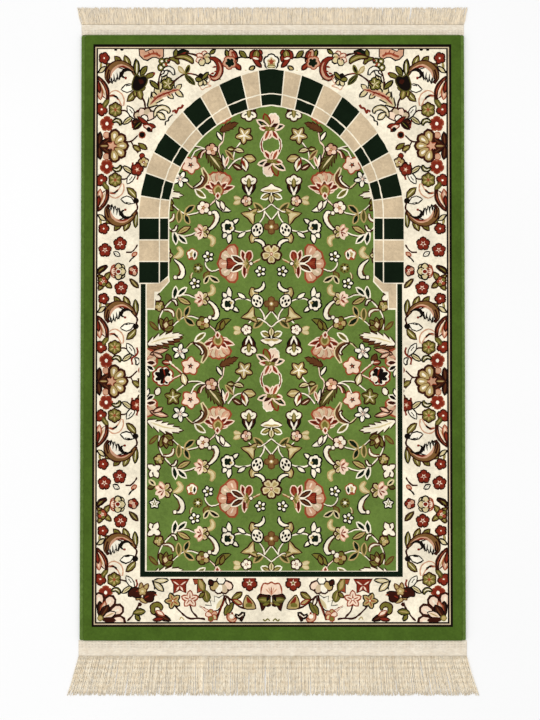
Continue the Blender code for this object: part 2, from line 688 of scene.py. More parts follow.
def dot_flower(pen: Pen, radius: float, turn: float = 90.0) -> None:
    """Five round white petals with dark outlines round an olive heart.

    Args:
        pen: Where it is drawn.
        radius: The flower's radius.
        turn: The flower's turn in degrees.
    """
    ring(
        pen, petal(radius * 0.62, radius * 0.52, 0.5, 0.5, 5), (WHITE,), ((BLACK, 1.5),), 5, turn,
        reach=radius * 0.36
    )
    pen.fill(disc(radius * 0.26, 6), OLIVE)


def posy(
    pen: Pen, radius: float, yarns: tuple[Yarn, ...], rim: Yarn, heart: Yarn, eye: Yarn, count: int = 5,
    turn: float = 90.0
) -> None:
    """A small round flower of full petals.

    Args:
        pen: Where it is drawn.
        radius: To its petals' tips.
        yarns: The petals' colours, in turn.
        rim: Its outline's colour.
        heart: The colour of a small star in its middle.
        eye: The colour of the dot on that.
        count: How many petals.
        turn: The direction of one petal.
    """
    ring(pen, petal(radius, radius * 0.86, 0.62, 0.55, 5), yarns, ((rim, 1.5),), count, turn)
    pen.fill(star(radius * 0.52, count, 0.4, turn + 180 / count), heart)
    pen.fill(disc(radius * 0.16, 6), eye)


def heart_flower(pen: Pen, radius: float, turn: float = -90.0) -> None:
    """Five wide petals, notched at the tip like hearts, with fine dark lines between.

    Args:
        pen: Where it is drawn.
        radius: The flower's radius.
        turn: The flower's turn in degrees.
    """
    notched = loop_through(
        [(0, 0), (0.45, 0.3), (0.85, 0.36), (1, 0.14), (0.93, 0), (1, -0.14), (0.85, -0.36), (0.45, -0.3)],
        2
    )
    ring(pen, notched * radius, (SAND,), ((UMBER, 1.9), (BROWN, 0.5)), 5, turn,
         mark=shrunk(notched, 0.55, (0.62, 0)) * radius, mark_yarn=STRAW)
    pen.fill(disc(radius * 0.2, 8), BRICK)
    pen.fill(disc(radius * 0.1, 6), SHELL)


def four_lobes(pen: Pen, radius: float) -> None:
    """A brown flower of four square lobes with a cream heart.

    Args:
        pen: Where it is drawn.
        radius: The flower's radius.
    """
    ring(pen, petal(radius, radius * 0.8, 0.66, 0.45, 5), (TAN,), ((BROWN, 1.3),), 4, 90)
    pen.fill(disc(radius * 0.32), STRAW)
    pen.fill(disc(radius * 0.2, 6), CREAM)


def peony(pen: Pen) -> None:
    """A peony along +x from its foot: a fan of full petals over striped sepals and an olive heart.

    Args:
        pen: Where it is drawn.
    """
    heart = pen.at(16)
    ring(heart, petal(25, 13, 0.72, 0.42, 6), (PINK, BEIGE), ((BRICK, 1.9), (BRICK, 0.8)), 5, 0, 76, 6,
         mark=petal(10, 3.4, 0.6, 0.7, 4) + np.array([11, 0]), mark_yarn=BEIGE)
    for side in (1, -1):
        for turn, length, width in ((100, 17, 7), (76, 29, 8), (50, 20, 7)):
            angle = math.radians(turn * side)
            blade(
                heart, (0, 0), (length * math.cos(angle), length * math.sin(angle)), width, RUST, SHELL,
                -14 * side, UMBER
            )
    ring(heart, petal(15, 9, 0.5, 0.8, 5), (BROWN,), ((SHELL, 1.2),), 1, 0)
    pen.at(4).fill(petal(20, 17, 0.55, 0.6, 7), STRAW, BRICK, 1.5)
    pen.at(6).fill(petal(15, 10, 0.55, 0.6, 6), OLIVE)
    blade(pen, (0, 0), (9, 0), 6, RUST, SHELL)


def iris(pen: Pen) -> None:
    """An iris along +x from its foot: three white lobes with dark marks over a brown cup.

    Args:
        pen: Where it is drawn.
    """
    for side in (8, -8):
        blade(pen, (1, side * 0.1), (22, side * 1.2), 8.5, UMBER, BLACK, 0, BROWN)
    top = pen.at(21)
    ring(top, petal(15, 11.5, 0.6, 0.5, 6), (CREAM,), ((UMBER, 1.7),), 3, 0, 116,
         mark=petal(8, 2.4, 0.5, 0.9, 4) + np.array([3, 0]), mark_yarn=BLACK)
    blade(pen, (14, 0), (31, 0), 8, OLIVE, None, 0, STRAW, 0.7)
    for side in (1, -1):
        blade(pen, (1, 0), (17, side * 6.5), 3.4, WHITE, None)
    pen.at(3).fill(disc(3.4), CREAM)


def lily(pen: Pen) -> None:
    """A lily round its heart: a scalloped pale petal, leaves to both sides, and red sepals below.

    Args:
        pen: Where it is drawn.
    """
    parts = (
        (110, 27, 9, OLIVE, RUST), (146, 27, 8, BOTTLE, SHELL), (174, 17, 5.5, RUST, SHELL),
        (12, 25, 8, BOTTLE, SHELL), (32, 18, 7.5, UMBER, SHELL),
        (-52, 23, 6, RUST, SHELL), (-93, 16, 6, RUST, SHELL), (-116, 22, 5.5, BRICK, SHELL),
    )
    pen.at(turn=70).fill(
        lobed(12.5, 9, 0.16, 4) * np.array([1.05, 0.86]) + np.array([15, 0]), SHELL, CREAM, 1.2
    )
    pen.at(turn=70).fill(petal(20, 12, 0.6, 0.7, 5), SHELL)
    for turn, length in ((84, 17), (66, 19), (52, 14)):
        pen.at(turn=turn).fill(petal(length, 2.6, 0.6, 0.9, 4), RUST)
    for turn, length, width, yarn, rim in parts:
        own = pen.at(turn=turn)
        own.fill(petal(length, width, 0.55, 0.9, 6), yarn, rim, 1.7)
        own.fill(
            petal(length * 0.6, width * 0.42, 0.5, 0.9, 4) + np.array([length * 0.12, 0]),
            OLIVE if yarn is BOTTLE else yarn
        )
    for turn in (157, 200, -20, 4):
        pen.at(turn=turn).fill(petal(11, 5, 0.5, 0.8, 5), OLIVE)
    pen.fill(disc(4.2), OLIVE)
    pen.fill(disc(1.6, 6), STRAW)


def lily_pair(pen: Pen) -> None:
    """Two lilies, the second the first turned half round, whose outer sepals run together into an oval.

    Args:
        pen: Where it is drawn.
    """
    for side in (pen, pen.at(turn=180)):
        oval = [(-11.5, 17), (-16.5, 8), (-17.8, 0), (-16, -9), (-12.5, -14)]
        side.fill(ribbon(line_through(oval, 3), 5), CREAM)
        side.fill(ribbon(line_through(oval, 3), 2.4), RUST)
    for side in (pen, pen.at(turn=180)):
        lily(side.at(-2.1, 29.7))


def umbrella(pen: Pen) -> None:
    """A drooping bell flower, its stem's end at the pen's origin and its flat pointed dome along +y.

    Args:
        pen: Where it is drawn.
    """
    dome = loop_through(
        [
            (-19.5, 23), (-12, 28.5), (-6, 30), (0, 35), (6, 30), (12, 28.5), (19.5, 23), (10, 20), (0, 19),
            (-10, 20)
        ],
        2
    )
    for side in (1, -1):
        blade(pen, (side * 3, 18), (side * 18, 9), 8.5, OLIVE, WHITE, 30 * side, STRAW)
    pen.fill(dome, CREAM, UMBER, 1.1)
    pen.fill(loop_through([(-15, 22), (-6, 25.5), (0, 24), (6, 25.5), (15, 22), (0, 20.5)], 2), STRAW)
    blade(pen, (0, 17), (0, 0), 9, SAND, UMBER, 0, OLIVE)
    pen.fill(loop_through([(-7, 17.5), (0, 20.5), (7, 17.5), (0, 15)], 2), BLACK)
    pen.fill(petal(7, 2.4, 0.5, 0.8, 4)[:, ::-1] + np.array([0, 13.5]), WHITE)


def pansy(pen: Pen) -> None:
    """A white flower with a dark green heart, a winged leaf below it and a small leaf above, facing +x.

    Args:
        pen: Where it is drawn.
    """
    sprig(
        pen, (-1, -7, -1, -30, 9, CREAM, BLACK, 24), (1, -8, 9, -20, 8, CREAM, BLACK, 0),
        (-6, 4, -19, 14, 7, CREAM, BLACK),
    )
    pen.fill(lobed(12, 6, 0.2, 4, 20), CREAM, BLACK, 1.6)
    pen.fill(lobed(7.4, 4, 0.34, 5, 45), BOTTLE)
    pen.at(-6, -2).fill(disc(2.6, 6), STRAW)


def cone_bud(pen: Pen) -> None:
    """A scaled bud along +x: a cream cup with black scales and a tan leaf at its tip.

    Args:
        pen: Where it is drawn.
    """
    blade(pen, (15, 0), (38, 1), 15, STRAW, UMBER, 0, SAND)
    pen.fill(petal(24, 20, 0.5, 0.55, 7), CREAM, BLACK, 1.4)
    for x, y in ((7, 5), (7, -5), (12, 0), (15, 6.5), (15, -6.5)):
        pen.at(x - 3, y * 0.8).fill(petal(6.5, 5, 0.5, 0.7, 4), BLACK)


def two_tone_lily(pen: Pen, radius: float) -> None:
    """A flower of six petals, red and pale towards +x and olive and cream away from it.

    Args:
        pen: Where it is drawn.
        radius: The flower's radius.
    """
    for turn in (180, 128, 232):
        pen.at(turn=turn).fill(petal(radius, radius * 0.56, 0.66, 0.55, 5), SAND, UMBER, 1.5)
    for turn in (180, 128, 232):
        pen.at(turn=turn).fill(
            petal(radius * 0.9, radius * 0.3, 0.66, 0.7, 4), OLIVE if turn == 180 else STRAW
        )
    for turn in (64, -64, 22, -26):
        pen.at(turn=turn).fill(
            petal(radius * 1.12, radius * 0.5, 0.55, 0.8, 5), SHELL, PINK if turn > 0 else SHELL, 1.2
        )
    for turn in (-60, -20, 40):
        pen.at(turn=turn).fill(petal(radius * 0.85, radius * 0.26, 0.6, 0.8, 4), RUST)


def palmette(pen: Pen) -> None:
    """The great palmette along +x from its node: five full petals, a red wedge, dark leaves and two buds.

    Args:
        pen: Where it is drawn.
    """
    fan = pen.at(24)
    ring(fan, petal(26, 18, 0.72, 0.42, 6), (PINK, BEIGE), ((BRICK, 2), (BRICK, 0.8)), 5, 0, 132, 9,
         mark=petal(11, 4, 0.6, 0.7, 4) + np.array([11, 0]), mark_yarn=SHELL)
    fan.at(3).fill(loop_through([(0, 0), (9, 8), (17, 9), (15, 0), (17, -9), (9, -8)], 2), RUST, UMBER, 1)
    for turn in (-14, 0, 14):
        fan.at(3, turn=turn).fill(petal(16, 1.8, 0.6, 0.9, 4), BRICK)
    for side in (1, -1):
        blade(pen, (13, side * 2), (35, side * 14), 9, UMBER, CREAM, 16 * side, BROWN)
    sprig(
        pen, (11, 3, 17, 23, 7, RUST, SHELL, -10, UMBER), (13, -3, 12, -25, 6.5, RUST, SHELL, 14, UMBER),
        (5, 4, 1, 22, 12, RUST, SHELL, 30, BRICK, 0.6), (stem, [(0, 0), (5, -8), (6, -17)], STRAW, BRICK),
    )
    for turn in (0, 34, -34, 68, -68):
        pen.at(5, turn=turn).fill(petal(11, 4.6, 0.5, 0.8, 5), OLIVE if abs(turn) > 40 else STRAW)
    pen.fill(disc(3), CREAM, UMBER, 1)


def acanthus(
    pen: Pen, length: float, width: float, yarn: Yarn, rim: Yarn, bend: float = 0.0,
    back: Yarn | None = None
) -> None:
    """A serrated leaf along +x, with a second set of teeth behind it where it is turned over.

    Args:
        pen: Where it is drawn.
        length: From its foot to its tip.
        width: Between its widest teeth.
        yarn: Its colour.
        rim: Its outline's colour.
        bend: Degrees that it curves by.
        back: The colour of the teeth behind, or None.
    """
    leaf = saw_leaf(length, width, 5, 0.5)
    if back is not None:
        pen.fill(bent(leaf * np.array([1, 1.25]) + np.array([0, -width * 0.22]), bend), back, rim, 1.2)
    pen.fill(bent(leaf, bend), yarn, rim, 1.4)
    pen.fill(bent(petal(length * 0.8, width * 0.16, 0.4, 1, 5) + np.array([length * 0.06, 0]), bend), SAND)


@dataclass(frozen=True)
class FieldGarden:
    """The green field's flowers, on a repeat that is mirrored about its upright axis."""

    palmette_rows: tuple[float, ...] = (558.8, 131.7, -295.4)
    lily_rows: tuple[float, ...] = (345.2, -81.9)

    def build(self, cartoon: Cartoon) -> None:
        """Lays every flower of the field: the mirrored quarters first, then the two kinds of row.

        Args:
            cartoon: The drawing that it is laid on.
        """
        whole = Pen(cartoon, Zone.FIELD)
        for row in self.palmette_rows:
            for turned in (False, True):
                level = whole.at(0, row).mirrored(across_y=turned)
                self.centre_line(level, row < 500)
                for hand in (False, True):
                    self.quarter(level.mirrored(across_x=hand), turned)
        for row in self.lily_rows:
            for hand in (False, True):
                self.lily_row(whole.at(0, row).mirrored(across_x=hand))
            lily_pair(whole.at(-0.6, row + 5.5))
        for row in self.palmette_rows:
            for hand in (False, True):
                self.palmette_row(whole.at(0, row).mirrored(across_x=hand))
            heart_flower(whole.at(0, row + 21), 16.5)

    def centre_line(self, pen: Pen, whole: bool) -> None:
        """The flowers on the upright axis, between a palmette row and the lily row next to it.

        Args:
            pen: At the crossing of the axes.
            whole: Whether the row is far enough from the arch's crown to show its drooping bell.
        """
        if not whole:
            return
        for hand in (False, True):
            side = pen.mirrored(across_x=hand)
            stem(side, [(0, 112), (10, 104), (12, 98), (0, 83)], width=1.8)
        four_lobes(pen.at(0, 70), 12)
        umbrella(pen.at(0, 113))

    def quarter(self, pen: Pen, turned: bool) -> None:
        """One quarter of the repeat: x outward from the upright axis, y from a palmette row to a lily row.

        Args:
            pen: At the crossing of the axes.
            turned: Whether this is the quarter below its palmette row, where some flowers change colour.
        """
        sprig(
            pen, (15, 100, 31, 113, 7.5, MOSS, STRAW, 14, BOTTLE),
            (stem, [(0, 112), (13, 102), (23, 97), (34, 99), (41, 105)]),
        )
        for turn in (24, -22):
            pen.at(54, 118, turn=turn).fill(petal(15, 7, 0.6, 0.7, 5), SAND, STRAW, 1)
        posy(pen.at(45, 117), 9, (CREAM,) if turned else (PINK, SHELL, SAND), UMBER, RUST, CREAM, 5, 70)
        pen.at(38, 91).fill(loop_through(star(17, 3, 0.36, 14), 2), STRAW, UMBER, 1.5)
        pen.at(37, 91).fill(loop_through(star(11, 3, 0.36, 14), 2), SAND)
        sprig(
            pen, (24, 96, 36, 95, 5, OLIVE, None),
            (stem, [(13, 98), (15, 87), (29, 69), (45, 62), (60, 61), (69, 65)], CREAM, UMBER, 2.4),
            (47, 60, 61, 51, 6.5, CREAM, BLACK),
        )
        pansy(pen.at(79, 70))
        cone_bud(pen.at(21, 76, turn=-68))
        horn(pen, [(31, 46), (22, 45), (15, 39), (14, 30)], 5.5, CREAM, BLACK)
        iris(pen.at(41, 128, turn=90))
        stem(pen, [(113, 109), (103, 118), (99, 126)], SHELL)
        peony(pen.at(98, 122, turn=93))
        wing = OLIVE if turned else CREAM
        sprig(
            pen, (101, 119, 73, 98, 10, wing, BLACK, -58), (92, 117, 87, 101, 7, wing, UMBER, 10),
            (stem, [(132, 97), (146, 93), (158, 94), (170, 102), (180, 111)]),
            (157, 95, 141, 108, 8, BOTTLE, STRAW, 20), (168, 100, 169, 79, 7, MOSS, STRAW, 18),
            (157, 93, 150, 76, 6.5, BOTTLE, STRAW, -12),
        )
        yarns = (OLIVE, STRAW, CREAM) if turned else (CREAM, SHELL)
        posy(pen.at(124, 105), 11.5, yarns, UMBER, RUST if turned else BRICK, STRAW, 5, 75)
        sprig(
            pen, (horn, [(118, 62), (106, 72), (99, 85), (102, 96), (111, 95)], 7, CREAM, BLACK),
            (horn, [(114, 67), (106, 78), (104, 88), (109, 92)], 3.2, BROWN, None),
        )
        pen.at(112, 95).fill(disc(3.4, 6), CREAM, UMBER, 1)
        sprig(
            pen, (horn, [(117, 54), (108, 50), (106, 43), (109, 36)], 5.5, SAND, STRAW),
            (
                stem,
                [(138, 60), (149, 55), (163, 54), (179, 62), (192, 75), (200, 87), (204, 101), (203, 117)]
            ),
        )
        two_tone_lily(pen.at(126, 61), 12.5)
        sprig(
            pen, (170, 58, 148, 70, 8, STRAW, UMBER, 16, OLIVE), (178, 60, 174, 39, 7, BOTTLE, CREAM, 24),
            (169, 55, 155, 41, 6.5, BOTTLE, CREAM, -14),
            (horn, [(196, 81), (186, 81), (179, 86), (178, 94)], 3.6, CREAM, BROWN),
            (horn, [(181, 63), (175, 65), (172, 73)], 3.2, CREAM, UMBER),
        )
        posy(pen.at(204, 74), 8.5, (STRAW, OLIVE), UMBER, SAND, OLIVE, 5)
        for tip in ((220, 42), (206, 41), (224, 64), (202, 62)):
            blade(pen, (213, 56), tip, 10, CREAM, UMBER)
        pen.at(213, 56).fill(disc(6), CREAM)
        blade(pen, (207, 117), (221, 103), 4.5, OLIVE, BROWN)
        for tip in ((202, 97), (190, 95), (180, 100), (179, 112)):
            blade(pen, (194, 118), tip, 9, OLIVE, UMBER, 0, MOSS)
        blade(pen, (193, 114), (191, 103), 7.5, SAND, BROWN)
        acanthus(pen.at(224, 144, turn=-152), 66, 22, CREAM, UMBER, -26, BROWN if turned else None)
        shell_star(pen.at(147, 183), 16, -96)
        white_star(pen.at(166, 157), 14.5, -96)
        sprig(
            pen, (stem, [(154, 151), (146, 143), (137, 140)], SAND),
            (horn, [(140, 139), (126, 146), (119, 160), (126, 177)], 7, BROWN, SAND),
            (horn, [(142, 141), (131, 148), (125, 157), (128, 163)], 2.6, CREAM, UMBER),
            (138, 138, 121, 124, 7.5, OLIVE, CREAM, -18, MOSS),
        )
        self.edge_palmette(pen.at(228, 172))

    def edge_palmette(self, pen: Pen) -> None:
        """The half palmette that the field's straight edge cuts, opening towards the axis.

        Args:
            pen: Where it is drawn.
        """
        ring(pen, petal(15, 13, 0.6, 0.5, 6), (PINK, BEIGE), ((BRICK, 2.2), (BRICK, 0.8)), 4, 215, 100, 4)
        sprig(
            pen, (-8, -10, -40, -19, 8, PINK, UMBER, -14, SHELL),
            (-14, -12, -30, -4, 6.5, PINK, UMBER, 0, SHELL), (-1, 4, -17, 6, 7, UMBER, SHELL),
            (-1, 10, -14, 18, 6, BLACK, CREAM, 12), (0, 16, -5, 30, 6, CREAM, BLACK),
        )

    def lily_row(self, pen: Pen) -> None:
        """One side of a lily row, which is only repeated and not mirrored up and down.

        Args:
            pen: Where it is drawn.
        """
        stem(pen, [(54, 13), (60, 5), (67, -5), (69, -22)])
        point_star(pen.at(49.5, 23), 15.5, STRAW, UMBER, CREAM, -84)
        sprig(
            pen, (67, -4, 80, -2, 6.5, OLIVE, UMBER, -30, SAND), (68, -4, 51, -7, 7, SAND, UMBER, 46, OLIVE),
            (70, -20, 83, -5, 4, BROWN, STRAW), (stem, [(79, -38), (66, -23), (50, -17)], CREAM, UMBER, 2.2),
            (70, -30, 55, -39, 7, BROWN, UMBER, 0, SHELL), (52, -18, 29, -21, 14, STRAW, UMBER, 8, SAND),
            (51, -18, 46, -42, 12, CREAM, UMBER, 0, STRAW), (55, -17, 48, -36, 5, RUST, None),
            (stem, [(86, 36), (88, 14), (95, 4), (96, -6), (90, -22), (85, -38)], SHELL, UMBER),
            (90, 14, 99, 29, 6, CREAM, BLACK), (84, -38, 89, -12, 4.5, CREAM, BLACK),
            (84, -32, 79, -17, 3, BRICK, SHELL),
        )
        acanthus(pen.at(117, -8, turn=-134), 45, 22, MOSS, UMBER, 10)
        blade(pen, (124, -6), (134, -18), 5, BROWN, UMBER)
        saw = pen.at(92, 31, turn=148)
        saw.fill(bent(saw_leaf(34, 14, 4, 0.45), 14), BROWN, UMBER, 1.2)
        sprig(
            pen, (stem, [(172, -14), (161, -5), (150, 2), (134, 3), (119, -2)]),
            (stem, [(146, -19), (140, -7), (129, -1), (119, -2)]),
            (stem, [(129, -18), (126, -9), (119, -4)], SHELL, RUST),
        )
        posy(pen.at(109, -3), 10.5, (PINK, SHELL), UMBER, BRICK, STRAW, 5, 100)
        point_star(pen.at(179, -26), 14.5, OLIVE, UMBER, SAND, 88)
        sprig(
            pen, (stem, [(181, 34), (172, 27), (161, 17)], SHELL, RUST), (184, 36, 190, 52, 9, BROWN, UMBER),
            (184, 36, 198, 38, 8, BRICK, UMBER, 0, SHELL), (181, 34, 186, 40, 5, CREAM, None),
        )
        self.pomegranate(pen.at(197, 12))
        sprig(
            pen, (stem, [(181, 7), (172, 11), (162, 16)], SHELL, RUST),
            (162, 17, 156, -4, 11, SAND, UMBER, 10, CREAM),
            (204, -9, 209, -22, 10, CREAM, UMBER, 0, None, 0.6),
        )

    def pomegranate(self, pen: Pen) -> None:
        """A dark fruit in a red halo, split by pale lines into four seeds round a pink heart.

        Args:
            pen: Where it is drawn.
        """
        pen.fill(lobed(19.5, 8, 0.13, 4, 20) * np.array([1.05, 0.96]), RUST, BRICK, 0.5)
        pen.fill(lobed(17.2, 8, 0.15, 4, 20) * np.array([1.05, 0.96]), CREAM)
        for turn, length, width in (
            (16, 21, 9.5), (-18, 20, 8), (54, 17.5, 10), (98, 15, 10.5), (-58, 17, 8.5), (-98, 14.5, 8),
            (150, 9.5, 8.5)
        ):
            pen.at(-5, 0, turn=turn).fill(petal(length, width, 0.6, 0.6, 6), BLACK)
        for turn in (76, -78):
            pen.at(-4, turn=turn).fill(petal(15, 3, 0.6, 0.8, 4), RUST)
        pen.at(-9, -5).fill(disc(4.2), SHELL, CREAM, 0.9)

    def palmette_row(self, pen: Pen) -> None:
        """One side of a palmette row, which is only repeated and not mirrored up and down.

        Args:
            pen: Where it is drawn.
        """
        stem(pen, [(36, 4), (28, 8), (20, 12)], SAND, BRICK)
        palmette(pen.at(37, 3.5))
        stem(pen, [(120, 8), (119, -1), (112, -9), (105, -10), (95, -7)])
        for x, y in ((115, 16), (20, -11), (139, -33)):
            dot_flower(pen.at(x, y), 9.6, 76)
        pen.at(144, 20).fill(lobed(9.5, 5, 0.25, 4, 90), CREAM, BRICK, 1.3)
        pen.at(144, 20).fill(lobed(5.5, 5, 0.3, 4, 90), STRAW)
        sprig(
            pen, (140, 13, 139, 25, 5, BOTTLE, CREAM), (150, 12, 142, 14, 5, BRICK, None),
        )
        pen.at(133.5, -5).fill(lobed(8.5, 7, 0.2, 4), OLIVE, MOSS, 0.8)
        ring(pen.at(133.5, -5), disc(1.7, 6) + np.array([1.7, 0]), (BLACK,), (), 6, 30, reach=4.4)
        pen.at(133.5, -5).fill(star(4.2, 6, 0.5), WHITE)
        sprig(
            pen, (stem, [(143, -13), (146, -18), (146, -24)], SAND, BROWN),
            (114, -12, 122, -22, 7, OLIVE, BROWN), (114, -20, 122, -32, 5.5, BLACK, SAND),
            (112, -20, 96, -29, 6, BLACK, SAND, -26),
            (horn, [(177, 14), (168, 18), (164, 25), (170, 33)], 6.5, SAND, STRAW),
            (horn, [(177, 11), (166, 1), (161, -12), (165, -21), (174, -22)], 7, CREAM, BLACK),
            (horn, [(172, 2), (167, -8), (168, -15), (172, -18)], 3, BROWN, None),
        )
        pen.at(175, -22).fill(disc(3.4, 6), CREAM, UMBER, 1)
        two_tone_lily(pen.at(195, 18), 14.5)
        point_star(pen.at(212, -6), 9, WHITE, BLACK, OLIVE)
        sprig(
            pen, (212, 26, 224, 22, 6, MOSS, UMBER), (212, 28, 221, 36, 5, BLACK, SAND),
        )


@dataclass(frozen=True)
class Doorway:
    """The arched doorway: a ring of dark and pale blocks, its brackets, its columns and its sill."""

    spring: float = 218.5
    outer: tuple[float, float] = (241.2, 270.7)
    split: tuple[float, float] = (204.3, 226.3)
    inner: tuple[float, float] = (188.2, 205.4)
    opening: tuple[float, float] = (186.0, 203.2)
    mortar: float = 2.2
    joints: tuple[float, ...] = (5.1, 12.0, 21.6, 30.4, 40.2, 51.5, 61.1, 70.4, 80.5, 90.0)
    courses: tuple[float, ...] = (218.5, 178.0, 139.2, 100.4)
    column: tuple[float, float] = (238.0, 228.8)
    sill: tuple[float, float] = (-435.1, -425.0)
    field_half: float = 226.4
    field_foot: float = -423.8

    def arc(self, curve: tuple[float, float], turns: np.ndarray) -> np.ndarray:
        """Points of a two-centred arch: a circle through its spring whose centre is pushed past the middle.

        Args:
            curve: The arch's half width and its rise over the spring.
            turns: Angles from the upright, in degrees, positive outwards.

        Returns:
            The points, one row each.
        """
        half, rise = curve
        push = (rise**2 - half**2) / (2 * half)
        turn = np.radians(turns)
        side = np.abs(np.sin(turn))
        reach = -push * side + np.sqrt((half + push) ** 2 - push**2 * (1 - side**2))
        return np.stack([reach * np.sin(turn), self.spring + reach * np.cos(turn)], 1)

    def build(self, cartoon: Cartoon) -> None:
        """Lays the doorway from the outside in, and the field's ground last.

        Args:
            cartoon: The drawing that it is laid on.
        """
        whole = np.linspace(-90, 90, 61)
        wide = (self.outer[0] + self.mortar, self.outer[1] + self.mortar)
        foot = self.sill[0] - self.mortar
        edge, post = wide[0], self.column[0] + self.mortar
        floor = self.courses[-1] - self.mortar
        silhouette = [
            (edge, floor), (post, floor), (post, foot), (-post, foot), (-post, floor), (-edge, floor)
        ]
        cartoon.lay(np.vstack([self.arc(wide, whole), silhouette]), CREAM)
        cartoon.lay(self.box(self.column[0], self.sill[0], self.courses[-1] - self.mortar), BOTTLE)
        cartoon.lay(self.box(self.column[1], self.sill[1], self.courses[-1] - self.mortar), CREAM)
        for hand in (1.0, -1.0):
            flip = np.array([hand, 1.0])
            self.ring_blocks(cartoon, flip)
            self.side_blocks(cartoon, flip)
        keystone = self.joints[0]
        for low, high in ((self.inner, self.split), (self.split, self.outer)):
            self.block(cartoon, -keystone, keystone, low, high, BOTTLE, np.ones(2))
        half = self.field_half
        side = [(211.6, 51.3), (211.0, 81.8), (203.0, 81.8), (184.8, 101.8), (self.opening[0], 112.0)]
        right = [(half, self.field_foot), (half, 51.3), *side]
        left = [(-x, y) for x, y in right[::-1]]
        opening = np.vstack([self.arc(self.opening, whole)[::-1], left, right])
        cartoon.lay_ground(opening, MEADOW, Zone.FIELD)

    def box(self, half: float, low: float, high: float) -> np.ndarray:
        """A rectangle across the centreline."""
        return np.array([(-half, low), (half, low), (half, high), (-half, high)])

    def block(
        self, cartoon: Cartoon, start: float, end: float, low: tuple[float, float],
        high: tuple[float, float], yarn: Yarn, flip: np.ndarray
    ) -> None:
        """One block of the ring between two joints and two arcs, short of each by half a mortar line.

        Args:
            cartoon: The drawing.
            start: The joint that it starts at, in degrees from the upright.
            end: The joint that it ends at.
            low: The arc under it.
            high: The arc over it.
            yarn: Its colour.
            flip: 1 or -1 for each axis, to mirror it.
        """
        gap = self.mortar / 2
        under = (low[0] + (gap if low is self.split else 0), low[1] + (gap if low is self.split else 0))
        over = (high[0] - (gap if high is self.split else 0), high[1] - (gap if high is self.split else 0))
        thin = [math.degrees(gap / curve[1]) for curve in (under, over)]
        steps = 6
        inside = self.arc(under, np.linspace(start + thin[0], end - thin[0], steps))
        outside = self.arc(over, np.linspace(start + thin[1], end - thin[1], steps))
        cartoon.lay(np.vstack([outside, inside[::-1]]) * flip, yarn)

    def ring_blocks(self, cartoon: Cartoon, flip: np.ndarray) -> None:
        """The blocks of one side of the ring, pale and dark in turn from beside the keystone.

        Args:
            cartoon: The drawing that it is laid on.
            flip: 1 or -1 for x, which says which side this is, and 1 for y.
        """
        for index, (start, end) in enumerate(zip(self.joints, self.joints[1:])):
            yarn = BOTTLE if index % 2 else BEIGE
            self.block(cartoon, start, end, self.inner, self.split, yarn, flip)
            self.block(cartoon, start, end, self.split, self.outer, yarn, flip)

    def side_blocks(self, cartoon: Cartoon, flip: np.ndarray) -> None:
        """The straight blocks of one side, the last one cut slantwise, and the bracket under it.

        Args:
            cartoon: The drawing that it is laid on.
            flip: 1 or -1 for x, which says which side this is, and 1 for y.
        """
        gap = self.mortar / 2
        middle, out, near = self.split[0], self.outer[0], self.inner[0]
        for index, (top, foot) in enumerate(zip(self.courses, self.courses[1:])):
            yarn = BEIGE if index % 2 else BOTTLE
            top, foot = top - gap, foot + (gap if index < 2 else 0)
            cartoon.lay(
                np.array([(middle + gap, foot), (out, foot), (out, top), (middle + gap, top)]) * flip, yarn
            )
            slant = 13.0 if index == 2 else 0.0
            cartoon.lay(
                np.array(
                    [(near, foot + slant), (middle - gap, foot), (middle - gap, top), (near, top)]
                ) * flip,
                yarn
            )
        bracket = [
            (223, 98.2), (204, 98.9), (187.5, 110.0), (186.8, 102.7), (204, 84), (213, 84), (213.8, 53.5),
            (223, 53.5)
        ]
        bracket[0], bracket[-1] = (226.6, 98.2), (226.6, 53.5)
        cartoon.lay(np.array(bracket) * flip, BEIGE)


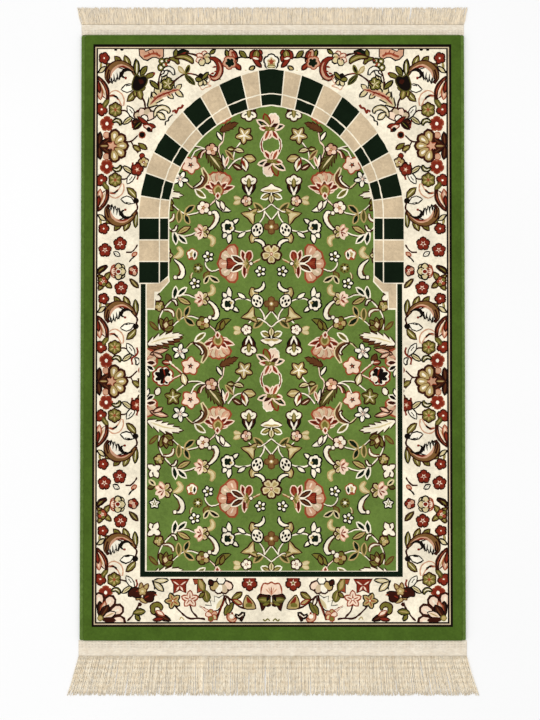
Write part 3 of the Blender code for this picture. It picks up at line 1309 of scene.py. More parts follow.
@dataclass(frozen=True)
class BorderGarden:
    """The cream border's flowers: daisies and roses up both sides, and a mirrored run across each end."""

    daisy_rows: tuple[float, ...] = (349.2, -79.2)
    rose_rows: tuple[float, ...] = (133.5, -290.1)
    corner_row: float = -501.6
    top_stretch: float = 1.06

    def build(self, cartoon: Cartoon) -> None:
        """Lays both sides and both ends, each the mirror of the other hand's.

        Args:
            cartoon: The drawing that it is laid on.
        """
        whole = Pen(cartoon, Zone.BORDER)
        for hand in (False, True):
            side = whole.mirrored(across_x=hand)
            top, low = self.daisy_rows
            self.spray(side.at(0, top).stretched(self.top_stretch))
            self.spray(side.at(0, top).mirrored(across_y=True))
            self.spray(side.at(0, low))
            self.spray(side.at(0, low).mirrored(across_y=True))
            self.spray(side.at(0, self.corner_row))
            for row in self.daisy_rows:
                self.daisy(side.at(0, row))
                self.forks(side.at(0, row))
            for row in self.rose_rows:
                self.rose_row(side.at(0, row))
            self.top_corner(side)
            self.top_run(side)
            self.foot_corner(side)
            self.foot_run(side)
        self.top_middle(whole)
        self.foot_middle(whole)

    def daisy(self, pen: Pen) -> None:
        """The half daisy that opens inwards from the border's outer edge, with dark leaves behind it.

        Args:
            pen: Where it is drawn.
        """
        for side in (1, -1):
            sprig(
                pen, (315, 0, 313, side * 24, 9, UMBER, BLACK, 14 * side, BROWN),
                (314, 0, 293, side * 15, 8, UMBER, BLACK, 0, BROWN),
            )
            pen.at(302, side * 19.5, turn=38 * side).fill(lobed(5.6, 4, 0.22, 3), PINK, BRICK, 0.7)
        heart = pen.at(291.5, 0)
        ring(heart, petal(20.5, 13, 0.62, 0.5, 6), (STRAW,), ((UMBER, 2.9), (BROWN, 1.3)), 5, 180, 152, 7,
             mark=petal(11, 5, 0.6, 0.6, 4) + np.array([6, 0]), mark_yarn=CREAM)
        blade(pen, (315, 0), (297, 0), 7, BROWN, UMBER, 0, STRAW)
        heart.fill(star(9, 5, 0.45, 180), PINK, BRICK, 1)

    def forks(self, pen: Pen) -> None:
        """The forked stem at a daisy's tip, half hidden by the doorway.

        Args:
            pen: Where it is drawn.
        """
        sprig(
            pen, (stem, [(266, 8), (256, 8), (244, 19)], UMBER, None, 2.4),
            (stem, [(256, 7), (250, -3), (243, -13)], UMBER, None, 2.4),
            (252, 0, 240, -9, 7.5, OLIVE, UMBER, 10, STRAW),
        )
        pen.at(236, 20).fill(disc(5), BLACK, BRICK, 1)
        blade(pen, (242, 4), (228, -6), 7, OLIVE, UMBER)
        pen.at(236, -18).fill(disc(4), RUST, UMBER, 1)
        posy(pen.at(233, -30), 8.5, (STRAW, SAND), UMBER, RUST, CREAM)
        posy(pen.at(245, -43), 10.5, (RUST,), UMBER, PINK, SHELL, 5, 30)

    def spray(self, pen: Pen) -> None:
        """The flowers between a daisy and the rose row, which stand mirrored on a daisy's other side.

        Args:
            pen: Where it is drawn.
        """
        pen.at(301, 38).fill(lobed(13, 5, 0.26, 4, 90), STRAW)
        posy(pen.at(301, 38), 11.4, (RUST,), BRICK, RUST, WHITE, 5, 90)
        pen.at(301, 38).fill(disc(3.4), WHITE)
        horn(pen, [(290, 41), (283, 44), (277, 41), (276, 36)], 5, OLIVE, BLACK, CREAM)
        posy(pen.at(311, 62.5), 10, (RUST,), UMBER, BRICK, WHITE, 5, 200)
        sprig(
            pen, (307, 67, 298, 80, 5.5, OLIVE, MOSS, 14, STRAW),
            (stem, [(276, 61), (264, 59), (253.5, 47)], UMBER, None, 2.4),
        )
        ring(pen.at(285.5, 62), petal(11.6, 9.4, 0.6, 0.5, 5), (OLIVE,), ((UMBER, 1.6),), 6, 90,
             mark=petal(9.4, 3.6, 0.62, 0.7, 4), mark_yarn=STRAW)
        pen.at(285.5, 62).fill(star(4.2, 6, 0.5), BRICK)
        sprig(
            pen, (254, 50, 270.5, 38, 6.5, SAND, BLACK, 14, OLIVE), (249, 47, 263, 68, 10, WHITE, BLACK, 0),
            (stem, [(254, 56), (259, 63)], BLACK, None, 1.3),
            (stem, [(245, 62), (243, 54), (247, 46), (254, 42), (253, 30)], RUST, None, 2.6),
            (horn, [(247, 42), (243, 37), (245, 31)], 4.5, WHITE, BLACK),
            (horn, [(297, 86), (286, 90), (275, 82), (272, 70)], 8.5, CREAM, PINK),
            (horn, [(297, 86), (287, 86), (279, 78)], 4, BRICK, None),
            (horn, [(291, 86), (284, 84), (279, 80)], 3.4, BLACK, None),
            (247, 95, 263, 77, 9.5, OLIVE, UMBER, 24, SAND),
        )
        self.tulip(pen)
        sprig(
            pen, (251, 104, 274, 97, 12.5, WHITE, BLACK, 34),
            (stem, [(257, 104), (266, 103)], BLACK, None, 1.4),
        )
        pen.at(247, 100).fill(disc(5.6), BLACK)
        self.volute(pen)
        sprig(
            pen, (horn, [(314, 130), (312, 141), (313, 153)], 5, OLIVE, None, STRAW),
            (316, 126, 304, 135, 6, SAND, BLACK, 0),
        )
        posy(pen.at(306.5, 150.5), 8.8, (RUST,), UMBER, BRICK, WHITE, 5, 180)

    def tulip(self, pen: Pen) -> None:
        """The half tulip at the outer edge: dark curved sepals over pink and cream stripes.

        Args:
            pen: Where it is drawn.
        """
        sprig(
            pen, (horn, [(318, 118), (308, 107), (301, 93), (300, 80)], 6, UMBER, UMBER, BRICK),
            (315, 112, 303, 82, 9, SHELL, UMBER, -10, STRAW), (316, 104, 313, 80, 8, PINK, BRICK, 0, SHELL),
            (319, 112, 315, 92, 5, RUST, UMBER),
        )

    def volute(self, pen: Pen) -> None:
        """The curled leaf: a dark arc, a pink band, a white fold with black teeth, and leaflets outside.

        Args:
            pen: Where it is drawn.
        """
        sprig(
            pen, (289, 136, 302, 139, 7, OLIVE, UMBER, 20), (274, 139, 286, 153, 8.5, OLIVE, UMBER, 0, MOSS),
            (258, 134, 268, 154, 9.5, OLIVE, UMBER, 14, SAND),
            (246, 120, 248, 148, 8, OLIVE, BLACK, 0, CREAM),
        )
        arc = line_through(
            [(297, 108), (301, 118), (297, 131), (285, 140), (271, 140), (257, 133), (246, 119)], 4
        )
        pen.fill(crescent(arc, 8.5), TAN, UMBER, 1.4)
        stem(pen, [(248, 121), (244, 112), (246, 104)], UMBER, None, 2.6)
        pen.fill(ribbon(line_through([(297, 108), (301, 118), (297, 131)], 4), 3.2), UMBER)
        fold = [
            (296, 113), (291.5, 108.5), (289, 115), (285.5, 111), (284, 118), (279.5, 114.5), (277.5, 124),
            (272, 131), (281, 134), (290, 128)
        ]
        pen.fill(np.array(fold), WHITE, BLACK, 1.7)
        for root, tip in (
            ((294, 120), (292, 107)), ((289, 124), (286, 108)), ((283, 127), (280, 111)),
            ((277, 128), (276, 116))
        ):
            blade(pen, root, tip, 3.4, BLACK, None)
        pen.fill(
            crescent(line_through([(295, 116), (291, 128), (281, 136), (268, 137), (252, 128)], 4), 5), PINK
        )
        pen.fill(crescent(line_through([(283, 135), (270, 136), (254, 129)], 4), 2.6), RUST)
        horn(pen, [(251, 126), (262, 131), (271, 128), (273, 120), (267, 116)], 6.2, BLACK, None)
        pen.at(266.5, 116.5).fill(disc(2.4, 6), RUST)

    def rose_row(self, pen: Pen) -> None:
        """The row between two sprays, which is only repeated and not mirrored up and down.

        Args:
            pen: Where it is drawn.
        """
        for x, y in ((304, 26), (276, 37.5), (274, -43)):
            posy(pen.at(x, y), 11.2, (RUST,), UMBER, SHELL, RUST, 5, 90)
        blade(pen, (287, 22), (277, 16), 6, WHITE, BLACK, 0, OLIVE)
        self.rose(pen.at(279, -12.8))
        horn(pen, [(317, -16), (311, -9), (300, -3)], 7, UMBER, BLACK, OLIVE)
        for tip in ((295, -15), (292, -42), (316, -20), (315, -46)):
            blade(pen, (306, -31), tip, 8, OLIVE, UMBER, 0, STRAW)
        posy(pen.at(308, -31), 8.5, (BRICK, OLIVE), UMBER, SHELL, RUST, 5, 180)
        sprig(
            pen, (stem, [(265, 22), (256, 22), (249, 28), (244, 36)], UMBER, None, 2.4),
            (253, 16, 246, 21, 5, PINK, BRICK), (stem, [(259, 4), (255, 10), (249, 15)], BLACK, None, 2.2),
        )
        posy(pen.at(251, -11.6), 8.6, (RUST, PINK), UMBER, SHELL, RUST, 5, 180)
        blade(pen, (257, -27), (243, -42), 7, MOSS, UMBER, 0, STRAW)

    def rose(self, pen: Pen) -> None:
        """A full-blown flower: streaked shell petals on its outer side, sand petals on its inner.

        Args:
            pen: Where it is drawn.
        """
        for turn in (38, -38, 0):
            pen.at(turn=turn).fill(petal(13.5, 13, 0.6, 0.5, 6), SHELL, BRICK, 1.4)
        for turn in (128, -128, 90, -90):
            pen.at(turn=turn).fill(petal(14, 11, 0.6, 0.5, 6), SAND, BLACK, 1.4)
        pen.at(turn=180).fill(petal(12.5, 12, 0.6, 0.5, 6), SAND, BLACK, 1.4)
        for turn in (50, 24, 0, -24, -50):
            pen.at(turn=turn).fill(petal(11, 2.4, 0.6, 0.8, 4), BRICK)
        for turn in (150, -150, 104, -104):
            pen.at(turn=turn).fill(petal(9, 2, 0.6, 0.8, 4), OLIVE)
        pen.fill(disc(3.6), RUST, CREAM, 1)

    def top_corner(self, pen: Pen) -> None:
        """The dark fruit over its palmette, and the serrated leaf beside it, in a top corner.

        Args:
            pen: Where it is drawn.
        """
        for x in (285, 273.5):
            pen.at(x, 524.5).fill(disc(3.2, 6), BLACK)
        sprig(
            pen, (246, 477, 246, 505, 8.5, OLIVE, BLACK, 8, CREAM),
            (239, 478, 228, 493, 8.5, OLIVE, BLACK, 8, MOSS), (231, 474, 214, 481, 7, OLIVE, UMBER, -18),
        )
        pen.at(214, 480.5).fill(disc(2.4, 6), RUST)
        for tip in ((231, 455), (250, 440), (238, 434)):
            blade(pen, (243, 453), tip, 10, OLIVE, UMBER, 0, STRAW)
        fruit = [
            (247, 478), (252, 468), (254, 455), (246, 449), (238, 452), (231, 459), (227, 470),
            (233, 476.5), (240, 474)
        ]
        pen.fill(loop_through(fruit, 2), BLACK, MOSS, 1.3)
        pen.fill(loop_through([(243, 469), (239, 461), (233, 464), (236, 470)], 2), UMBER)
        stem(pen, [(236, 437), (231.5, 428), (230, 417)], UMBER, None, 2.8)
        acanthus(pen.at(224, 421, turn=136), 68, 25, SAND, BLACK, -34)
        line = line_through([(222, 423), (210, 436), (197, 443), (183, 448), (168, 452)], 4)
        for root, tip in (
            ((212, 436), (216, 446)), ((200, 442), (196, 454)), ((188, 447), (178, 458)),
            ((190, 445), (180, 436)), ((176, 450), (162, 439)), ((174, 452), (165, 460))
        ):
            blade(pen, root, tip, 7, SAND, BLACK)
        pen.fill(crescent(line, 11), PINK)
        pen.fill(crescent(line, 3.6), RUST)
        for root, tip in (
            ((213, 433), (213, 440)), ((200, 441), (195, 446)), ((190, 445), (183, 440)),
            ((184, 448), (175, 452))
        ):
            blade(pen, root, tip, 3.4, BRICK, None)
        self.half_palmette(pen.at(231, 396))
        sprig(
            pen,
            (horn, [(213, 402), (210, 413), (200, 419), (189, 415), (187, 409)], 6.5, SAND, BLACK, CREAM),
            (208, 409, 195, 398, 10, SAND, BLACK, 0, CREAM),
            (stem, [(181, 411), (176, 414), (174, 409), (170, 417), (164, 419), (161, 424)], RUST, None, 3.4),
            (stem, [(194, 386), (193, 393), (188, 395), (187, 400), (180, 406)], BLACK, None, 2.4),
        )
        saw = [
            (241, 524), (240, 514), (233, 507), (227, 505.5), (218, 511), (210, 511), (203, 507),
            (198, 512), (198, 527), (212, 527), (230, 520), (233, 524)
        ]
        pen.fill(np.array(saw, float), PINK, BLACK, 1.3)
        stem(pen, [(233, 511), (225, 514), (217, 517), (209, 516), (203, 512)], BRICK, None, 3)
        for x, y in ((222, 515), (214, 518), (207, 515)):
            pen.at(x, y, turn=60).fill(petal(7, 2.2, 0.5, 0.9, 4), RUST)

    def half_palmette(self, pen: Pen) -> None:
        """The corner's palmette: pale petals with dark lines over red sepals, its foot under the doorway.

        Args:
            pen: Where it is drawn.
        """
        ring(pen, petal(21, 12, 0.62, 0.5, 6), (BEIGE, SHELL, BEIGE, SHELL), ((UMBER, 1.7),), 4, 88, 108, 1)
        pen.at(1, 3).fill(disc(6), WHITE, UMBER, 1.2)
        sprig(
            pen, (10, -5, 22, -4, 12, UMBER, BLACK, 0, BROWN), (6, -2, 20, -16, 9, BLACK, UMBER, 0, OLIVE),
        )
        for start, tip in (((13, 6), (-8, -12)), ((-4, -9), (-19, -12)), ((2, -7), (-12, -20))):
            blade(pen, start, tip, 5.5, RUST, UMBER, 8)
        blade(pen, (2, -10), (-13, -15), 6, SHELL, RUST)
        pen.at(-7, -17).fill(disc(4.5), BLACK)

    def top_run(self, pen: Pen) -> None:
        """The run of stems, leaves and flowers across the top, from a corner's grape flower to the middle.

        Args:
            pen: Where it is drawn.
        """
        sprig(
            pen, (stem, [(205, 452), (205.5, 462), (204.5, 474), (200, 486), (192, 498)], UMBER, None, 2.2),
            (206, 453, 221, 467, 6.5, OLIVE, BLACK, 0, MOSS),
        )
        ring(pen.at(189, 462), petal(11, 9, 0.6, 0.5, 5), (OLIVE,), ((BLACK, 1.5),), 5, 100,
             mark=petal(9, 2.8, 0.5, 0.9, 4), mark_yarn=SAND)
        for x, y, radius in ((200, 503, 5.2), (191, 504, 4.4), (202, 491.5, 5.2), (196, 497, 4)):
            pen.at(x, y).fill(disc(radius), OLIVE, BLACK, 1.2)
            pen.at(x, y).fill(disc(radius * 0.5, 6), CREAM)
        sprig(
            pen, (stem, [(194, 500), (189, 492)], BRICK, None, 3),
            (horn, [(201, 476), (194, 480), (192, 486), (197, 488)], 4, WHITE, BLACK),
            (horn, [(197, 487), (189, 490.5), (181, 486), (178, 479)], 5.5, WHITE, BLACK),
            (stem, [(190, 504), (180, 508), (164, 510)], BRICK, UMBER, 2.2),
            (horn, [(186, 508), (175, 506), (170, 498)], 5.5, OLIVE, UMBER),
            (177, 512, 152, 521, 14, BOTTLE, BLACK, -14, RUST), (176, 510, 174, 524, 6, OLIVE, BLACK),
            (horn, [(176, 510), (160, 511), (148, 506), (144, 500)], 7.5, OLIVE, UMBER, STRAW),
            (stem, [(154, 518), (144, 516), (135, 513)], UMBER, None, 2.8),
        )
        self.mixed_flower(pen.at(124, 508))
        blade(pen, (112, 517), (103, 523.5), 4.5, OLIVE, BLACK)
        line = line_through(
            [(112, 509), (102, 506), (95, 497), (94, 485), (99, 475), (107, 472), (115, 477)], 4
        )
        pen.fill(crescent(line, 10), RUST, UMBER, 1.2)
        pen.fill(crescent(line[6:-2] + np.array([-1.2, -0.6]), 4.4), PINK)
        for x, y in ((108, 491), (105, 483), (112, 479)):
            pen.at(x, y, turn=160).fill(petal(8, 4.6, 0.6, 0.8, 4), RUST)
        sprig(
            pen,
            (stem, [(186, 458), (173, 470.5), (158, 479.5), (143, 479.5), (130, 475)], UMBER, None, 2.6),
            (stem, [(157, 480.3), (150, 480.8), (143, 480)], RUST, None, 1.6),
            (156, 481, 150, 495, 4.5, BLACK, OLIVE, 10), (160, 482, 169, 493, 5, SAND, STRAW, 20),
            (157, 477, 141, 461, 7.5, BOTTLE, MOSS, 14, OLIVE),
            (
                stem, [(115, 478), (112, 468), (117, 461), (110, 458), (120, 455), (126, 451), (131, 458)],
                PINK, None, 1.6
            ),
        )
        for turn, yarn in ((75, BLACK), (150, SAND), (225, SAND), (290, SAND), (10, OLIVE)):
            pen.at(127, 469, turn=turn).fill(petal(11, 7, 0.6, 0.6, 5), yarn, BLACK, 1.3)
        blade(pen, (126, 470), (116, 482), 5, OLIVE, BLACK)
        pen.at(91.5, 470).fill(petal(5, 3, 0.5, 0.8, 4), OLIVE)
        self.dark_heart(pen)
        sprig(
            pen, (stem, [(66, 507), (56, 510.5), (44, 510), (33, 507.5), (25, 501)], BLACK, None, 2.6),
            (46, 510, 57.5, 521, 7.5, OLIVE, BLACK, 0, MOSS),
        )
        for start, tip, width in (
            ((38, 508), (31, 523), 8), ((21, 513), (21, 523), 8), ((33, 508), (19, 493), 6.5),
            ((22, 516), (19, 503), 6)
        ):
            blade(pen, start, tip, width, RUST, UMBER, 0)
        sprig(
            pen, (29, 507, 26, 523, 11, OLIVE, UMBER, 0, STRAW), (34, 509, 23, 507, 4.5, CREAM, RUST),
            (40, 489, 31, 493.5, 5, STRAW, BLACK, -30),
        )
        pen.at(45, 486.5).fill(petal(4, 2.6, 0.5, 0.8, 4), STRAW)

    def mixed_flower(self, pen: Pen) -> None:
        """A flower whose outer petals are pink lines and whose inner ones are cream with dark outlines.

        Args:
            pen: Where it is drawn.
        """
        for turn in (100, 35, -18):
            pen.at(turn=turn).fill(petal(13.5, 9, 0.6, 0.55, 5), SHELL, BRICK, 1.1)
        for turn in (150, 205, -68):
            pen.at(turn=turn).fill(petal(13, 10, 0.6, 0.5, 5), SAND, BLACK, 1.4)
        pen.at(turn=150).fill(petal(9, 5, 0.6, 0.6, 4), STRAW)
        for turn in (70, 10, -40, 120):
            pen.at(turn=turn).fill(petal(8, 2.6, 0.5, 0.8, 4), PINK)
        pen.fill(disc(2.4, 6), UMBER)

    def dark_heart(self, pen: Pen) -> None:
        """A pink flower with a black heart, one striped petal above it and a red leaf below.

        Args:
            pen: Where it is drawn.
        """
        sprig(
            pen, (77, 508, 83, 523, 6, OLIVE, BLACK), (67, 499, 56.5, 487.5, 7, RUST, UMBER, 10, BRICK),
            (66, 500, 75, 524, 13, PINK, UMBER, -14, BRICK, 0.6),
            (stem, [(66, 504), (65, 512), (71, 521)], RUST, None, 3.4),
        )
        pen.at(76.5, 500.5).fill(lobed(11.5, 5, 0.2, 4, 60), PINK, BRICK, 1.2)
        pen.at(76, 500.5).fill(lobed(8.6, 5, 0.3, 4, 60), BOTTLE)

    def top_middle(self, pen: Pen) -> None:
        """The white trefoil over the arch's crown.

        Args:
            pen: Where it is drawn.
        """
        ring(pen.at(0, 502), petal(13, 12.5, 0.6, 0.5, 6), (WHITE,), ((BLACK, 1.7),), 5, 90)
        pen.at(0, 502).fill(lobed(8.6, 5, 0.3, 4, 90), SAND)
        pen.at(0, 502).fill(star(7, 5, 0.5, 90), BRICK)
        for x in (4.6, -4.6):
            pen.at(x, 497.5).fill(disc(2.4, 6), STRAW)
        blade(pen, (-7, 493.5), (7, 493.5), 3.4, SAND, OLIVE)

    def foot_corner(self, pen: Pen) -> None:
        """The quarter rosette in a bottom corner, and the dark winged flower beside it.

        Args:
            pen: Where it is drawn.
        """
        corner = pen.at(311, -510)
        ring(corner, petal(24, 16, 0.66, 0.5, 6), (SHELL,), ((UMBER, 2.6),), 4, 138, 104, 20,
             mark=petal(11, 5, 0.6, 0.7, 4) + np.array([8, 0]), mark_yarn=CREAM)
        sprig(
            corner, (0, 0, 1, 30, 10, UMBER, BLACK, -14, BROWN), (-2, 4, -9, 30, 8, PINK, BRICK, 0, SHELL),
            (0, 0, -15, 23, 13, UMBER, BLACK, -10, BROWN), (-6, 2, -28, 10, 11, SHELL, BLACK, 0, STRAW),
            (-4, -2, -28, -4, 6, UMBER, UMBER),
        )
        corner.fill(disc(3.6), STRAW, OLIVE, 1.2)
        for start, tip in (
            ((240, -473), (226, -482)), ((239, -470), (244, -476)), ((236, -462), (236, -446)),
            ((232, -462), (224, -448))
        ):
            blade(pen, start, tip, 6, STRAW, BROWN)
        pen.at(245.5, -464).fill(
            loop_through([(-4, 8), (4, 9), (12, 2), (13, -6), (7, -5), (1, -8), (-8, -7), (-9, 2)], 2),
            UMBER, BLACK, 1.2
        )
        pen.at(221.5, -471).fill(
            loop_through([(8, 5), (-2, 9), (-12, 7), (-8, 0), (-6, -8), (2, -9), (9, -3)], 2), UMBER, BLACK,
            1.2
        )
        for x, y, turn in ((246, -462, 160), (222, -469, -30)):
            pen.at(x, y, turn=turn).fill(petal(9, 3, 0.5, 0.9, 4), RUST)
        blade(pen, (213, -467), (206, -468), 3, BRICK, None)
        pen.at(233.5, -461).fill(lobed(7, 5, 0.3, 4, 90), STRAW, BROWN, 1)
        pen.at(233.5, -461).fill(disc(2.4, 6), SAND)
        stem(pen, [(239, -482), (243, -492), (251, -504), (261, -515)], UMBER, None, 2.8)
        pen.at(238.5, -485).fill(disc(4), UMBER)
        sprig(
            pen, (250, -501, 229, -498, 10, OLIVE, BLACK, 24, STRAW),
            (246, -504, 239, -514, 6, OLIVE, BLACK),
        )

    def foot_run(self, pen: Pen) -> None:
        """The run of flowers under the sill, from a corner to the middle.

        Args:
            pen: Where it is drawn.
        """
        sprig(
            pen, (214, -444, 187, -441, 8, SAND, BLACK, 14, CREAM),
            (213, -445, 196, -460, 9.5, SAND, BLACK, 0, CREAM),
            (stem, [(216, -441), (212, -450), (212, -458)], BLACK, None, 2.4),
        )
        ring_line = line_through(
            [(206, -504), (214, -499), (214.5, -489), (207, -485), (200, -489), (200, -495)], 4
        )
        pen.fill(crescent(ring_line, 7), OLIVE, UMBER, 1.3)
        sprig(
            pen, (211, -503, 183, -514, 9, UMBER, BLACK, 0, BROWN), (214, -513, 196, -511, 5, RUST, UMBER),
            (208, -497, 195, -505, 5, SHELL, BRICK),
        )
        cross = [(183, -440), (176, -449), (177, -465), (166, -458), (155, -464), (156, -449), (149, -440)]
        pen.fill(np.array(cross, float), RUST, UMBER, 1)
        for tip in ((179, -442), (153, -442), (173, -461), (159, -461)):
            blade(pen, (166, -451), tip, 2.6, SHELL, None)
        sprig(
            pen,
            (
                stem, [(174, -488), (166, -497), (156, -506), (146, -511), (134, -510), (120, -512)], UMBER,
                None, 2.8
            ),
            (stem, [(148, -484), (144, -497), (134, -508)], UMBER, None, 2.6),
        )
        point_star(pen.at(178.5, -478.5), 14, STRAW, BLACK, BRICK, 70)
        point_star(pen.at(147.5, -475.5), 14.5, SHELL, BRICK, BRICK, 90)
        stem(pen, [(166, -513), (163, -508), (158, -513)], STRAW, None, 1.4)
        saw = [
            (142, -440), (138, -448), (133, -447), (133, -456), (134, -463), (127, -460), (121, -462),
            (120, -450), (126, -440)
        ]
        pen.fill(np.array(saw, float), BRICK, UMBER, 1.3)
        sprig(
            pen, (131, -440, 123, -459, 7, STRAW, OLIVE),
            (120, -460, 116, -480, 12, OLIVE, MOSS, 0, STRAW, 0.7), (122, -464, 130, -472, 5, OLIVE, UMBER),
        )
        fan = pen.at(91, -441)
        ring(
            fan, petal(20, 12.5, 0.66, 0.5, 6), (SHELL, BEIGE, WHITE, STRAW), ((UMBER, 1.7),), 4, 268, 100,
            4
        )
        fan.fill(lobed(7, 6, 0.2, 3), WHITE, BLACK, 1.2)
        blade(pen, (112, -441), (107, -450), 8, UMBER, BLACK)
        jag = [
            (131, -487), (119.5, -492), (119.5, -487), (108, -488.5), (110.5, -478), (101.5, -481),
            (103, -470), (95, -474), (87, -468), (86, -478), (91, -488), (98, -495), (110, -497),
        ]
        pen.fill(np.array(jag, float), WHITE, BLACK, 1.1)
        pen.fill(np.array([(112, -497), (131, -487), (119, -497)], float), SHELL, BRICK, 0.8)
        blade(pen, (88, -474), (100, -494), 8, SAND, None)
        pen.fill(
            ribbon(line_through([(84.5, -468), (87, -480), (92, -492), (96, -503), (99, -514)], 4), 5, 0.7),
            UMBER
        )
        pen.fill(ribbon(line_through([(86, -478), (91, -491), (95, -503)], 4), 2), RUST)
        for turn, yarn in ((80, STRAW), (150, PINK), (215, SAND), (280, OLIVE), (20, SHELL)):
            pen.at(108.5, -505, turn=turn).fill(petal(10.5, 8, 0.6, 0.6, 5), yarn, BRICK, 1.1)
        sprig(
            pen, (stem, [(83, -469), (72, -477), (61, -487), (49, -492), (40, -492)], UMBER, None, 2.8),
            (71, -475, 53.5, -463.5, 9, OLIVE, UMBER, -14, STRAW), (68, -477, 54, -484, 5, STRAW, RUST),
            (69, -482, 84, -504, 11.5, OLIVE, BLACK, -18, MOSS), (81, -473, 77, -486, 5, CREAM, UMBER),
        )
        wing = [(45, -469), (40, -473), (33, -481), (29, -492), (38, -493), (49, -491), (50, -482)]
        pen.fill(loop_through(wing, 2), STRAW, UMBER, 1.2)
        pen.fill(loop_through([(45, -471), (39, -476), (34, -484), (43, -483)], 2), RUST)
        pen.fill(loop_through([(46, -484), (38, -482), (35, -489), (46, -490)], 2), OLIVE)
        horn(pen, [(78, -502), (77, -510), (70, -515), (64, -511)], 4, PINK, BRICK)
        pen.at(72, -507).fill(disc(4.4), WHITE, PINK, 1)
        pen.at(71, -501).fill(disc(2.2, 6), RUST)
        horn(pen, [(65, -504), (58, -508), (51, -502), (55, -515)], 5, UMBER, BLACK, CREAM)
        posy(pen.at(39.5, -446), 13, (RUST,), UMBER, SHELL, OLIVE, 5, 270)
        stem(pen, [(15, -512), (11, -515), (7, -511.5), (3, -515)], OLIVE, None, 2)

    def foot_middle(self, pen: Pen) -> None:
        """The pink lily under the middle of the sill, over a dark butterfly leaf.

        Args:
            pen: Where it is drawn.
        """
        crown = [
            (-16, -470), (-17, -458), (-13, -448), (-6, -449), (0, -446), (6, -449), (13, -448), (17, -458),
            (16, -470), (0, -473)
        ]
        pen.fill(loop_through(crown, 3), SHELL, BRICK, 1.5)
        for turn in (50, 72, 90, 108, 130):
            pen.at(0, -469, turn=turn).fill(petal(17, 3.4, 0.6, 0.8, 4), PINK if turn != 90 else BRICK)
        for hand in (False, True):
            side = pen.mirrored(across_x=hand)
            wing = [
                (1, -471), (10, -469), (20, -467), (25, -474), (20, -481), (17, -497), (11, -488), (2, -487)
            ]
            side.fill(loop_through(wing, 2), UMBER, BLACK, 1)
            sprig(
                side, (2, -478, 23, -476, 8, OLIVE, MOSS, 0, STRAW), (3, -483, 16, -486, 5, OLIVE, None),
                (4, -469, 9, -480, 5.5, BLACK, None),
            )
        blade(pen, (0, -468), (0, -482), 3.2, WHITE, None)
        pen.at(0, -483).fill(disc(2.4, 6), STRAW)


@dataclass(frozen=True)
class Bands:
    """The plain green band, the narrow guard stripes and the cream border's ground."""

    guard: tuple[float, float, float] = (327.1, 533.6, -526.4)
    beige: tuple[float, float, float] = (323.2, 529.3, -522.2)
    thread: tuple[float, float, float] = (320.7, 527.1, -519.6)
    cream: tuple[float, float, float] = (318.5, 525.2, -517.4)

    def frame(self, half_width: float, half_length: float, spacing: float = 14.0) -> np.ndarray:
        """A rectangle round the middle with a point every so often along its sides.

        Args:
            half_width: Half its width.
            half_length: Half its length.
            spacing: The most between two points.

        Returns:
            The closed outline.
        """
        across = np.linspace(-half_width, half_width, math.ceil(2 * half_width / spacing) + 1)[:-1]
        along = np.linspace(-half_length, half_length, math.ceil(2 * half_length / spacing) + 1)[:-1]
        foot = np.stack([across, np.full_like(across, -half_length)], 1)
        side = np.stack([np.full_like(along, half_width), along], 1)
        return np.vstack([foot, side, -foot, -side])

    def build(self, cartoon: Cartoon) -> None:
        """Lays the bands from the outside in: each is a half width, a top and a foot.

        Args:
            cartoon: The drawing that it is laid on.
        """
        for inset in (0.0, 1.1):
            cartoon.lay(self.frame(PILE_HALF_WIDTH - inset, DRAWN_HALF_LENGTH - inset), BAND_GREEN)
        for (half, top, foot), yarn in (
            (self.guard, BLACK), (self.beige, BEIGE), (self.thread, BLACK),
        ):
            cartoon.lay(np.array([(-half, foot), (half, foot), (half, top), (-half, top)]), yarn)
        half, top, foot = self.cream
        cartoon.lay_ground(
            np.array([(-half, foot), (half, foot), (half, top), (-half, top)]), CREAM, Zone.BORDER
        )


# ---------------------------------------------------------------- meshes and finishes


def make_piece(
    name: str, points: np.ndarray, faces: np.ndarray | list, smooth: bool = True
) -> bpy.types.Object:
    """Puts whole arrays of points and faces into a new piece at the origin.

    Args:
        name: The piece's name.
        points: (n, 3), in metres.
        faces: (m, 3) or (m, 4) corners, or a list of them.
        smooth: Whether the faces are shaded smooth.

    Returns:
        The new object, linked to the scene.
    """
    mesh = bpy.data.meshes.new(name)
    mesh.from_pydata(
        np.asarray(points, float).tolist(), [],
        [list(f) for f in np.asarray(faces).tolist()] if isinstance(faces, np.ndarray) else faces
    )
    mesh.polygons.foreach_set("use_smooth", np.full(len(mesh.polygons), smooth))
    mesh.update()
    piece = bpy.data.objects.new(name, mesh)
    bpy.context.scene.collection.objects.link(piece)
    return piece


def grid_faces(rows: int, columns: int, round_columns: bool = False) -> np.ndarray:
    """The quads of a grid of points laid row after row.

    Args:
        rows: How many rows of points.
        columns: How many points in each row.
        round_columns: Whether each row closes on itself.

    Returns:
        (m, 4) corners, turning left from a row's direction towards the next row.
    """
    row = np.arange(rows - 1)[:, None] * columns
    column = np.arange(columns if round_columns else columns - 1)[None, :]
    after = (column + 1) % columns
    return np.stack(
        [row + column, row + after, row + columns + after, row + columns + column], -1
    ).reshape(-1, 4)


